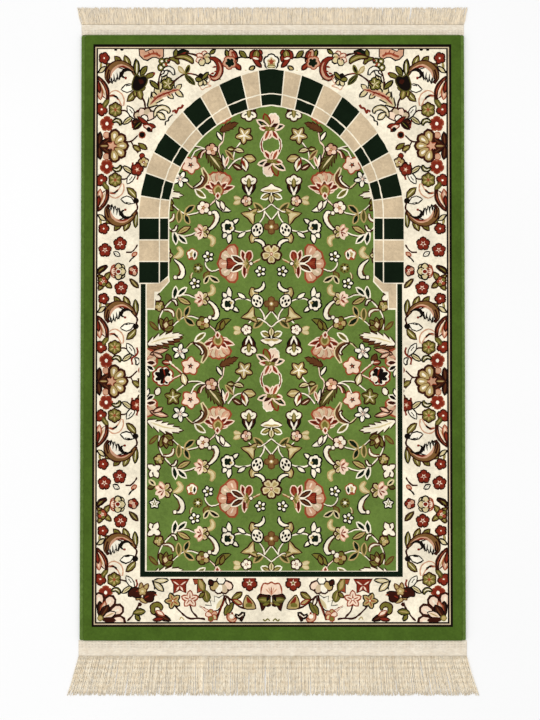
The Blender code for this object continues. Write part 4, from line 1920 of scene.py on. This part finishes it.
class Loom:
    """A material's node tree, with a short call for each kind of node that the finishes share."""

    def __init__(self, name: str) -> None:
        """Starts an empty material with a Principled shader.

        Args:
            name: The material's name.
        """
        self.material = bpy.data.materials.new(name)
        self.material.use_nodes = True
        self.tree = self.material.node_tree
        self.shader = self.tree.nodes["Principled BSDF"]
        self.place = self.tree.nodes.new("ShaderNodeTexCoord").outputs["Object"]

    def link(self, source: bpy.types.NodeSocket, target: bpy.types.NodeSocket) -> None:
        """Joins two sockets."""
        self.tree.links.new(source, target)

    def attribute(self, name: str) -> bpy.types.Node:
        """The node that reads one of the mesh's own attributes.

        Args:
            name: The attribute's name.

        Returns:
            The attribute's node.
        """
        node = self.tree.nodes.new("ShaderNodeAttribute")
        node.attribute_name = name
        return node

    def stretched(self, scale: tuple[float, float, float]) -> bpy.types.NodeSocket:
        """Object coordinates scaled along each axis.

        Args:
            scale: The scale along x, y and z.

        Returns:
            The scaled coordinates.
        """
        node = self.tree.nodes.new("ShaderNodeMapping")
        node.inputs["Scale"].default_value = scale
        self.link(self.place, node.inputs["Vector"])
        return node.outputs["Vector"]

    def noise(
        self, scale: float, detail: float = 2.0, vector: bpy.types.NodeSocket | None = None
    ) -> bpy.types.NodeSocket:
        """A cloudy pattern from 0 to 1 with that many clouds to the metre.

        Args:
            scale: How many clouds there are to the metre.
            detail: How many finer layers they have.
            vector: Where the pattern is read, or the object's own coordinates.

        Returns:
            The pattern.
        """
        node = self.tree.nodes.new("ShaderNodeTexNoise")
        node.inputs["Scale"].default_value = scale
        node.inputs["Detail"].default_value = detail
        self.link(vector or self.place, node.inputs["Vector"])
        return node.outputs["Fac"]

    def cells(self, scale: float, vector: bpy.types.NodeSocket | None = None) -> bpy.types.NodeSocket:
        """The distance to the nearest tuft, with that many tufts to the metre.

        Args:
            scale: How many tufts there are to the metre.
            vector: Where the pattern is read, or the object's own coordinates.

        Returns:
            The distance, from 0 in a tuft's middle.
        """
        node = self.tree.nodes.new("ShaderNodeTexVoronoi")
        node.inputs["Scale"].default_value = scale
        node.inputs["Randomness"].default_value = 0.7
        self.link(vector or self.place, node.inputs["Vector"])
        return node.outputs["Distance"]

    def between(
        self, source: bpy.types.NodeSocket, low: float, high: float, start: float = 0.0, end: float = 1.0
    ) -> bpy.types.NodeSocket:
        """A value from start to end mapped evenly to low to high.

        Args:
            source: The value to map.
            low: What start becomes.
            high: What end becomes.
            start: The value's low end.
            end: The value's high end.

        Returns:
            The mapped value.
        """
        node = self.tree.nodes.new("ShaderNodeMapRange")
        for name, value in (("From Min", start), ("From Max", end), ("To Min", low), ("To Max", high)):
            node.inputs[name].default_value = value
        self.link(source, node.inputs["Value"])
        return node.outputs["Result"]

    def product(self, a: bpy.types.NodeSocket, b: bpy.types.NodeSocket) -> bpy.types.NodeSocket:
        """Two values multiplied.

        Args:
            a: The first value.
            b: The second value.

        Returns:
            The product.
        """
        node = self.tree.nodes.new("ShaderNodeMath")
        node.operation = "MULTIPLY"
        self.link(a, node.inputs[0])
        self.link(b, node.inputs[1])
        return node.outputs["Value"]

    def shaded(self, colour: bpy.types.NodeSocket, value: bpy.types.NodeSocket) -> bpy.types.NodeSocket:
        """A colour made lighter or darker by a value near 1.

        Args:
            colour: The colour to change.
            value: How bright it is made.

        Returns:
            The changed colour.
        """
        node = self.tree.nodes.new("ShaderNodeVectorMath")
        node.operation = "SCALE"
        self.link(colour, node.inputs["Vector"])
        self.link(value, node.inputs["Scale"])
        return node.outputs["Vector"]

    def mixed(self, low: Yarn, high: Yarn, value: bpy.types.NodeSocket) -> bpy.types.NodeSocket:
        """A colour from one yarn to another as a value goes from 0 to 1.

        Args:
            low: The yarn at 0.
            high: The yarn at 1.
            value: How far it is from the first to the second.

        Returns:
            The mixed colour.
        """
        node = self.tree.nodes.new("ShaderNodeValToRGB")
        node.color_ramp.elements[0].color = (*low.linear(), 1.0)
        node.color_ramp.elements[1].color = (*high.linear(), 1.0)
        self.link(value, node.inputs["Fac"])
        return node.outputs["Color"]

    def bump(self, height: bpy.types.NodeSocket, distance: float, strength: float = 0.5) -> None:
        """Raises the surface by a height of up to that distance in metres.

        Args:
            height: The height from 0 to 1.
            distance: The greatest height in metres.
            strength: How much of it shows.
        """
        node = self.tree.nodes.new("ShaderNodeBump")
        node.inputs["Strength"].default_value = strength
        node.inputs["Distance"].default_value = distance
        self.link(height, node.inputs["Height"])
        self.link(node.outputs["Normal"], self.shader.inputs["Normal"])

    def fibre(self, roughness: float, sheen: float) -> None:
        """Sets the shader's own sockets for soft fibre.

        Args:
            roughness: The fibre's roughness.
            sheen: The weight of its sheen.
        """
        self.shader.inputs["Roughness"].default_value = roughness
        self.shader.inputs["Specular IOR Level"].default_value = 0.04
        self.shader.inputs["Sheen Weight"].default_value = sheen
        self.shader.inputs["Sheen Roughness"].default_value = 0.55


@dataclass(frozen=True)
class PileFinish:
    """Cut pile: each triangle's own yarn, clouded, faintly lined along the weft, lighter on its tufts' tops
    and darker between them as painted shade.
    """

    tufts: float = 620.0
    clouds: float = 26.0

    def material(self) -> bpy.types.Material:
        """Makes the pile's material.

        Returns:
            The material.
        """
        loom = Loom("pile_yarn")
        tuft = loom.cells(self.tufts)
        cloud = loom.between(loom.noise(self.clouds, 4.0), 0.88, 1.11, 0.3, 0.7)
        grain = loom.between(loom.noise(230.0, 2.0), 0.90, 1.10, 0.3, 0.7)
        lay = loom.between(loom.noise(3.0, 2.0, loom.stretched((9.0, 1.4, 1.0))), 0.95, 1.05, 0.3, 0.7)
        # painted shade: the tuft distance that shapes the bump also darkens the colour in the gaps between
        # tufts and lightens it on their tops
        painted_tuft_shade = loom.between(tuft, 1.07, 0.90, 0.0, 0.9)
        shade = loom.product(loom.product(loom.product(cloud, lay), painted_tuft_shade), grain)
        loom.link(
            loom.shaded(loom.attribute("yarn").outputs["Color"], shade), loom.shader.inputs["Base Color"]
        )
        loom.bump(loom.between(tuft, 1.0, 0.0, 0.0, 0.9), 0.0006, 0.35)
        loom.fibre(0.95, 0.012)
        return loom.material


@dataclass(frozen=True)
class YarnFinish:
    """Plied yarn: a colour that drifts between two shades, with fine fibres across it that carry painted
    shade where they sink, scaled by the mesh's attribute shade, which holds painted shade and random tone.
    """

    name: str
    low: Yarn
    high: Yarn
    fibres: tuple[float, float, float]
    sheen: float = 0.03
    depth: float = 0.16

    def material(self) -> bpy.types.Material:
        """Makes the yarn's material.

        Returns:
            The material.
        """
        loom = Loom(self.name)
        drift = loom.between(loom.noise(130.0, 3.0), 0.0, 1.0, 0.3, 0.7)
        fibre = loom.noise(1.0, 2.0, loom.stretched(self.fibres))
        # the attribute shade: painted shade in the tape's hollows and on the fringe's lower strands, plus
        # each strand's random tone; a piece without it takes the low end throughout
        own = loom.between(loom.attribute("shade").outputs["Fac"], 1.0 - self.depth, 1.06)
        # partly painted shade: the fibre noise is also the bump's height, so the colour darkens where the
        # fibres sink, on top of their own random tone
        shade = loom.product(loom.between(fibre, 0.86, 1.10, 0.3, 0.7), own)
        loom.link(
            loom.shaded(loom.mixed(self.low, self.high, drift), shade), loom.shader.inputs["Base Color"]
        )
        loom.bump(fibre, 0.0003, 0.5)
        loom.fibre(0.92, self.sheen)
        return loom.material


@dataclass(frozen=True)
class Sizes:
    """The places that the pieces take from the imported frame, in metres."""

    near_pile: float
    far_pile: float
    near_half: float
    far_half: float
    top: float

    @classmethod
    def from_frame(cls) -> "Sizes":
        """Reads the pile's ends and the rug's half widths from the frame's own boxes."""
        low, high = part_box("pile_panel")
        return cls(low.y, high.y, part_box("overcast_right")[1].x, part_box("heading_far")[1].x, high.z)

    def half_width(self, y: np.ndarray | float) -> np.ndarray | float:
        """The rug's half width at y: it narrows evenly from the near end of the pile to the far end."""
        share = (y - self.near_pile) / (self.far_pile - self.near_pile)
        return self.near_half + (self.far_half - self.near_half) * share


@dataclass
class PilePanel:
    """The pile: one closed cloth whose top is the mosaic of the whole drawing."""

    sizes: Sizes
    drift: float = -2.5
    edge: float = 7.0
    shoulder: float = 0.6
    swell: float = 0.22
    spacing: float = 21.0

    def draw(self) -> Cartoon:
        """Lays the rug's whole drawing.

        Returns:
            The finished drawing.
        """
        cartoon = Cartoon()
        Bands().build(cartoon)
        BorderGarden().build(cartoon)
        Doorway().build(cartoon)
        FieldGarden().build(cartoon)
        return cartoon

    def place(self, drawn: np.ndarray) -> np.ndarray:
        """Moves points from the drawing's frame to the rug's, where the pattern narrows as the rug does.

        Args:
            drawn: (n, 2) points in the drawing's frame.

        Returns:
            (n, 2) points in metres.
        """
        inside = 1.0 - (np.abs(drawn[:, 0]) / PILE_HALF_WIDTH) ** 8
        middle = (self.sizes.near_pile + self.sizes.far_pile) / 2
        y = middle + drawn[:, 1] * (self.sizes.far_pile - self.sizes.near_pile) / (2 * DRAWN_HALF_LENGTH)
        return np.stack(
            [drawn[:, 0] / DRAWN_HALF_WIDTH * self.sizes.half_width(y) + self.drift * MM * inside, y], 1
        )

    def height(self, points: np.ndarray) -> np.ndarray:
        """The lie of the pile's top: two long low waves and a shorter one, in metres over the frame's top.

        Args:
            points: Places on the pile, in metres.

        Returns:
            Each place's height.
        """
        x, y = points[:, 0], points[:, 1]
        waves = np.sin(9.1 * x + 5.3 * y + 0.7) + 0.7 * np.sin(13.7 * y - 7.9 * x) + 0.45 * np.sin(
            41.0 * y + 33.0 * x + 1.9
        )
        return self.sizes.top - 0.0006 + self.swell * MM * waves / 2.15

    def build(self) -> bpy.types.Object:
        """Joins the mosaic, a rounded shoulder, the sides and the flat back into one closed cloth.

        Returns:
            The pile, with its colours in the attribute yarn and its own map for the bake.
        """
        drawn, triangles, yarns = self.draw().mosaic(self.spacing)
        LOG.info("mosaic: %d points, %d triangles", len(drawn), len(triangles))
        flat = self.place(drawn)
        rim = np.flatnonzero(
            (np.abs(np.abs(drawn[:, 0]) - PILE_HALF_WIDTH) < 0.5) | (
                np.abs(np.abs(drawn[:, 1]) - DRAWN_HALF_LENGTH) < 0.5
            )
        )
        rim = rim[np.argsort(np.arctan2(drawn[rim, 1] / DRAWN_HALF_LENGTH, drawn[rim, 0] / PILE_HALF_WIDTH))]
        out = np.stack(
            [np.sign(drawn[rim, 0]) * (np.abs(drawn[rim, 0]) > PILE_HALF_WIDTH - 0.5),
             np.sign(drawn[rim, 1]) * (np.abs(drawn[rim, 1]) > DRAWN_HALF_LENGTH - 0.5)], 1
        )
        inset = self.shoulder * MM
        flat = flat - self.outward(flat, rim, out, inset)
        tops = np.column_stack([flat, self.height(flat)])
        turns = np.radians([30.0, 60.0, 90.0])
        levels = [(math.sin(t), math.cos(t)) for t in turns] + [(1.0, None), (0.7, None)]
        rings, unrolled, run = [], [], 0.0
        edge = tops[rim]
        last = edge
        for sideways, down in levels:
            z = edge[:, 2] - inset * (1 - down) if down is not None else np.full(
                len(rim), 0.0004 if sideways == 1.0 else 0.0
            )
            ringed = np.column_stack([edge[:, :2] + out * inset * sideways, z])
            run += float(np.linalg.norm((ringed - last)[0]))
            rings.append(ringed)
            unrolled.append(edge[:, :2] + out * run)
            last = ringed
        count = len(rim)
        first = len(tops)
        loops = [rim] + [first + k * count + np.arange(count) for k in range(len(rings))]
        walls = np.concatenate(
            [np.stack([b, np.roll(b, -1), np.roll(a, -1), a], 1) for a, b in zip(loops, loops[1:])]
        )
        points = np.vstack([tops, *rings, rings[-1].mean(0)])
        foot = loops[-1]
        back_faces = np.stack([np.full(count, len(points) - 1), np.roll(foot, -1), foot], 1)
        faces = triangles.tolist() + walls.tolist() + back_faces.tolist()
        piece = make_piece("pile", points, faces, smooth=True)
        colours = np.ones((len(faces), 4))
        table = np.array([yarn.linear() for yarn in PALETTE])
        colours[: len(triangles), :3] = table[yarns]
        colours[len(triangles) :, :3] = BAND_GREEN.linear()
        colours[len(triangles) + len(walls) :, :3] = BEIGE.linear()
        piece.data.attributes.new("yarn", "FLOAT_COLOR", "FACE").data.foreach_set("color", colours.ravel())
        self.map_for_bake(piece, np.vstack([flat, *unrolled, flat.mean(0)]), len(triangles) + len(walls))
        return piece

    def outward(self, flat: np.ndarray, rim: np.ndarray, out: np.ndarray, inset: float) -> np.ndarray:
        """How far each point moves in to leave room for the shoulder: only the rim's points do.

        Args:
            flat: The points as drawn.
            rim: Which of them are on the rim.
            out: The rim's outward directions.
            inset: How far the rim moves in.

        Returns:
            Each point's move: the rim's points move by inset along out, the rest not at all.
        """
        moves = np.zeros_like(flat)
        moves[rim] = out * inset
        return moves

    def map_for_bake(self, piece: bpy.types.Object, unrolled: np.ndarray, fronts: int) -> None:
        """Lays the top and its sides flat over most of a square, and the back in a strip beside them.

        Args:
            piece: The pile.
            unrolled: (n, 2) places of the points, with the sides folded out.
            fronts: How many faces belong to the top and the sides.
        """
        mesh = piece.data
        low, high = unrolled.min(0), unrolled.max(0)
        share = (unrolled - low) / (high - low)
        corners = np.empty(len(mesh.loops), int)
        mesh.loops.foreach_get("vertex_index", corners)
        uv = share[corners]
        start = mesh.polygons[fronts].loop_start
        uv[:start, 0] = 0.002 + uv[:start, 0] * 0.93
        uv[start:, 0] = 0.94 + uv[start:, 0] * 0.055
        uv[:, 1] = 0.002 + uv[:, 1] * 0.996
        mesh.uv_layers.new(name="OFBake").data.foreach_set("uv", uv.ravel())

    def dress(self, piece: bpy.types.Object, pieces: list[bpy.types.Object]) -> None:
        """Args:
            piece: The pile.
            pieces: The edges and fringes that belong to the same cloth; not used.
        """
        piece.data.materials.append(PileFinish().material())
        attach(piece, "root")
        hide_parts("pile_panel")


@dataclass
class OvercastEdge:
    """One long edge: a rounded cord of yarn, wrapped slantwise round the side of the cloth."""

    sizes: Sizes
    hand: int
    node: str
    pitch: float = 2.6
    around: int = 14
    per_wrap: int = 4
    width: float = 7.6

    def build(self) -> bpy.types.Object:
        """A flattened round profile carried along the edge, swelling once for every wrap of the yarn.

        Returns:
            The edge, closed at both ends.
        """
        low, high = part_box(self.node)
        width, height = self.width * MM, high.z - low.z
        rows = int((self.sizes.far_pile - self.sizes.near_pile) / (self.pitch * MM) * self.per_wrap)
        y = np.linspace(low.y + 0.0004, high.y - 0.0004, rows)[:, None]
        angle = np.linspace(0, 2 * math.pi, self.around, endpoint=False)[None, :]
        wrap = np.abs(np.sin(math.pi * y / (self.pitch * MM) + 0.5 * angle * self.hand))
        swell = 1.0 - 0.09 * (1.0 - wrap**0.7)
        ends = np.minimum(1.0, np.sqrt(np.minimum(y - y[0], y[-1] - y) / 0.002 + 0.15))
        side = np.sign(np.cos(angle)) * np.abs(np.cos(angle)) ** 0.5 * width / 2 * swell * ends
        lift = np.sign(np.sin(angle)) * np.abs(np.sin(angle)) ** 0.5 * height / 2 * swell * ends
        middle = self.hand * (self.sizes.half_width(y) - width / 2)
        points = np.stack([middle + side, y + 0 * angle, height / 2 + lift], -1)
        faces = grid_faces(rows, self.around, round_columns=True)[:, ::-1]
        caps = [list(range(self.around)), list(range((rows - 1) * self.around, rows * self.around))[::-1]]
        name = "overcast_edge_" + ("right" if self.hand > 0 else "left")
        return make_piece(name, points.reshape(-1, 3), faces.tolist() + caps)

    def dress(self, piece: bpy.types.Object) -> None:
        """Gives the edge its yarn.

        Args:
            piece: The finished mesh object.
        """
        piece.data.materials.append(
            YarnFinish("overcast_yarn", EDGE_GREEN, EDGE_LIGHT, (900.0, 260.0, 900.0)).material()
        )
        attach(piece, "root")
        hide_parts(self.node)


@dataclass
class Heading:
    """The woven tape between the pile and a fringe: packed weft ribs and stitched lines, with painted shade
    in their hollows.
    """

    node: str
    outward: int
    rib: float = 1.15
    columns: int = 360
    stitch_rows: tuple[float, ...] = (0.06, 0.26, 0.42)

    def build(self) -> bpy.types.Object:
        """A flat grid whose top is ribbed along the weft, closed underneath.

        Returns:
            The tape, with painted shade in the attribute shade.
        """
        low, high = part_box(self.node)
        half_low, half_high = -low.x, high.x
        rows = int((high.y - low.y) / (self.rib * MM) * 4) + 1
        columns = self.columns
        u = np.linspace(-1, 1, columns)[None, :]
        v = np.linspace(0, 1, rows)[:, None]
        inner = high.y if self.outward < 0 else low.y
        y = inner + self.outward * (high.y - low.y) * v
        wander = 0.25 * MM * np.sin(u * 37.0 + 5.0 * v) * np.sin(v * math.pi)
        ribs = np.abs(np.sin(math.pi * (y + wander) / (self.rib * MM)))
        dips = sum(np.exp(-(((v - row) * (high.y - low.y) / (1.0 * MM)) ** 2)) for row in self.stitch_rows)
        stitch = 0.5 + 0.5 * np.sin(u * math.pi * columns / 3.0)
        lift = 1.0 - 0.22 * (1 - ribs) - 0.18 * dips * stitch
        x = u * half_high + 0 * v
        z = low.z + (high.z - low.z) * lift
        edge = (1 - np.abs(u) ** 60) * np.minimum(1, np.minimum(v, 1 - v) * 30 + 0.7)
        top = np.stack([x, y + 0 * u, low.z + (z - low.z) * (0.35 + 0.65 * edge)], -1)
        foot = np.stack([x, y + 0 * u, np.full_like(top[..., 2], low.z)], -1)
        faces = grid_faces(rows, columns)
        if self.outward < 0:
            faces = faces[:, ::-1]
        size = rows * columns
        rim = np.concatenate([
            np.arange(columns), np.arange(1, rows) * columns + columns - 1,
            (rows - 1) * columns + np.arange(columns - 2, -1, -1), np.arange(rows - 2, 0, -1) * columns,
        ])
        wall = np.stack([rim, np.roll(rim, -1), np.roll(rim, -1) + size, rim + size], 1)
        wall = wall[:, ::-1] if self.outward > 0 else wall
        faces = np.concatenate([faces, faces[:, ::-1] + size, wall])
        piece = make_piece(
            self.node.replace("heading", "tape"), np.concatenate([top.reshape(-1, 3), foot.reshape(-1, 3)]),
            faces
        )
        # painted shade: darker in the stitched rows' dips and the grooves between ribs, where the mesh sinks;
        # the underside takes a middle value, so the tape's sides darken towards the floor
        shade = 1.0 - 0.45 * dips * stitch - 0.3 * (1 - ribs)
        shade = np.concatenate([shade.ravel(), np.full(size, 0.5)])
        piece.data.attributes.new("shade", "FLOAT", "POINT").data.foreach_set("value", shade)
        return piece

    def dress(self, piece: bpy.types.Object, fringe: bpy.types.Object) -> None:
        """Args:
            piece: The finished mesh object.
            fringe: The fringe that the tape carries; not used.
        """
        # depth sets how dark the painted shade in the attribute shade makes the tape
        piece.data.materials.append(
            YarnFinish("tape_cotton", TAPE, TAPE_LIGHT, (160.0, 1400.0, 600.0), depth=0.5).material()
        )
        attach(piece, "root")
        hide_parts(self.node)


@dataclass
class Fringe:
    """The fringe of one end: two layers of plied strands that leave the tape and fan out at its corners."""

    node: str
    outward: int
    splay: float
    ragged: float
    low_yarn: Yarn
    high_yarn: Yarn
    strands: int = 940
    steps: int = 9
    sides: int = 5
    thickness: float = 1.8
    seed: int = SEED

    def build(self) -> bpy.types.Object:
        """Each strand is a round profile carried along its own line, which leans, sways and ends ragged.

        Returns:
            The fringe, every strand closed at both ends, with each strand's random tone in the attribute
            shade, kept darker on the lower layer as painted shade under the upper one.
        """
        low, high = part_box(self.node)
        heading_low, heading_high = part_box(self.node.replace("fringe", "heading"))
        random = np.random.default_rng(self.seed)
        n = self.strands
        root_half, length = heading_high.x - 0.0008, high.y - low.y
        root = np.linspace(-root_half, root_half, n) + random.normal(0, 0.0002, n)
        layer = np.arange(n) % 2
        share = root / root_half
        tip = root + np.sign(share) * (
            self.splay - 0.0015
        ) * np.abs(share) ** 2.6 + random.normal(0, 0.0011, n)
        tip = np.clip(tip, low.x, high.x)
        reach = length - self.ragged * random.random(n) ** 1.6 - 0.0004
        t = np.linspace(0, 1, self.steps)[None, :]
        sway = random.normal(
            0, 0.0007, (n, 1)
        ) * np.sin(math.pi * t) + random.normal(0, 0.0004, (n, 1)) * np.sin(2 * math.pi * t)
        x = root[:, None] + (tip - root)[:, None] * t**1.15 + sway
        start = high.y if self.outward < 0 else low.y
        y = start + self.outward * (0.0001 + reach[:, None] * t)
        radius = self.thickness * MM / 2 * (
            0.92 + 0.08 * np.sin(math.pi * np.minimum(1, t * 1.3)) - 0.22 * t**8
        )
        radius = radius * random.uniform(0.85, 1.12, (n, 1))
        z = radius + layer[:, None] * (0.0009 * (1 - 0.75 * t)) + 0.0001 * random.random((n, 1))
        angle = (
            np.arange(self.sides) * 2 * math.pi / self.sides
        )[None, None, :] + 2.2 * t[..., None] * math.pi
        points = np.stack(
            [
                x[..., None] + radius[..., None] * np.cos(angle), y[..., None] + 0 * angle,
                z[..., None] + radius[..., None] * np.sin(angle)
            ],
            -1
        )
        points[..., 2] = np.maximum(points[..., 2], 0.0)
        one = grid_faces(self.steps, self.sides, round_columns=True)
        one = one if self.outward < 0 else one[:, ::-1]
        size = self.steps * self.sides
        faces = (one[None] + (np.arange(n) * size)[:, None, None]).reshape(-1, 4).tolist()
        ends = np.stack([np.arange(self.sides), (self.steps - 1) * self.sides + np.arange(self.sides)[::-1]])
        ends = ends[:, ::-1] if self.outward < 0 else ends
        faces += (ends[None] + (np.arange(n) * size)[:, None, None]).reshape(-1, self.sides).tolist()
        piece = make_piece(self.node.replace("fringe", "strands"), points.reshape(-1, 3), faces)
        # partly painted shade: each strand's tone is random, but the lower layer, lying under the upper one,
        # only reaches 0.6 of the range and so is darker
        shade = np.repeat(random.random(n) * (0.6 + 0.4 * layer), size)
        piece.data.attributes.new("shade", "FLOAT", "POINT").data.foreach_set("value", shade)
        return piece

    def dress(self, piece: bpy.types.Object) -> None:
        """Gives the strands their cotton.

        Args:
            piece: The finished mesh object.
        """
        finish = YarnFinish(
            "fringe_cotton_" + ("near" if self.outward < 0 else "far"), self.low_yarn, self.high_yarn,
            (1500.0, 120.0, 1500.0)
        )
        piece.data.materials.append(finish.material())
        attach(piece, "root")
        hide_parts(self.node)


@dataclass(frozen=True)
class Studio:
    """A plain pale floor, soft even light and a camera straight above the rug."""

    camera_height: float = 3.0
    frame_height: float = 1.3125
    aim: tuple[float, float] = (-0.0055, -0.0154)
    sensor: float = 36.0

    def build(self) -> None:
        """Makes the floor, the lights and the camera."""
        low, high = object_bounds()
        middle = (low + high) / 2
        floor = self.floor(low.z)
        floor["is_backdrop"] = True
        world = bpy.data.worlds.new("soft_room")
        bpy.context.scene.world = world
        world.use_nodes = True
        background = world.node_tree.nodes["Background"]
        background.inputs["Color"].default_value = (1.0, 1.0, 1.0, 1.0)
        background.inputs["Strength"].default_value = 0.86
        self.softbox("overhead", (0.0, 0.4, 3.4), 3.0, 26.0)
        self.softbox("side", (-2.6, -1.2, 2.2), 1.8, 9.0)
        camera = bpy.data.objects.new("camera", bpy.data.cameras.new("camera"))
        camera.data.sensor_width = self.sensor
        camera.data.lens = self.sensor * self.camera_height / self.frame_height
        camera.data.clip_end = 100.0
        camera.location = (middle.x + self.aim[0], middle.y + self.aim[1], self.camera_height)
        bpy.context.scene.collection.objects.link(camera)
        bpy.context.scene.camera = camera
        bpy.context.scene.view_settings.view_transform = "Standard"

    def floor(self, level: float) -> bpy.types.Object:
        """A wide, faintly clouded sheet of pale paper at that level.

        Args:
            level: The floor's height in metres.

        Returns:
            The floor's object.
        """
        side = np.linspace(-6.0, 6.0, 25)
        x, y = np.meshgrid(side, side)
        floor = make_piece(
            "floor", np.stack([x, y, np.full_like(x, level - 0.0002)], -1).reshape(-1, 3),
            grid_faces(25, 25)
        )
        loom = Loom("floor_paper")
        tone = loom.between(loom.noise(2.0, 2.0), 0.0, 1.0, 0.3, 0.7)
        loom.link(loom.mixed(PAPER_SHADE, PAPER, tone), loom.shader.inputs["Base Color"])
        loom.shader.inputs["Roughness"].default_value = 0.9
        loom.shader.inputs["Specular IOR Level"].default_value = 0.1
        floor.data.materials.append(loom.material)
        return floor

    def softbox(self, name: str, place: tuple[float, float, float], size: float, power: float) -> None:
        """A square area light that faces the rug's middle.

        Args:
            name: The light's name.
            place: Where it hangs, in metres.
            size: Its side in metres.
            power: Its power in watts.
        """
        light = bpy.data.lights.new(name, "AREA")
        light.size, light.energy = size, power
        lamp = bpy.data.objects.new(name, light)
        lamp.location = place
        lamp.rotation_euler = (-Vector(place)).to_track_quat("-Z", "Y").to_euler()
        bpy.context.scene.collection.objects.link(lamp)


def main() -> None:
    """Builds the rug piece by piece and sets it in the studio."""
    logging.basicConfig(level=logging.INFO, format="%(name)s: %(message)s")
    sizes = Sizes.from_frame()
    pile_panel = PilePanel(sizes)
    pile = pile_panel.build()
    made = [pile]
    edges = []
    for hand, node in ((-1, "overcast_left"), (1, "overcast_right")):
        edge = OvercastEdge(sizes, hand, node)
        piece = edge.build()
        edge.dress(piece)
        edges.append(piece)
    fringes = {
        "near": Fringe("fringe_near", -1, 0.0235, 0.0065, FRINGE, FRINGE_LIGHT, seed=SEED),
        "far": Fringe("fringe_far", 1, 0.009, 0.0045, TAPE, FRINGE, seed=SEED + 1),
    }
    studio_later = []
    for end, fringe in fringes.items():
        strands = fringe.build()
        fringe.dress(strands)
        heading = Heading("heading_" + end, fringe.outward)
        tape = heading.build()
        studio_later.append((heading, tape, strands))
    Studio().build()
    pile_panel.dress(pile, edges)
    for heading, tape, strands in studio_later:
        heading.dress(tape, strands)
        made += [tape, strands]
    for piece in made + edges:
        piece.data.calc_loop_triangles()
        LOG.info("%s: %d triangles", piece.name, len(piece.data.loop_triangles))


if __name__ == "__main__":
    main()
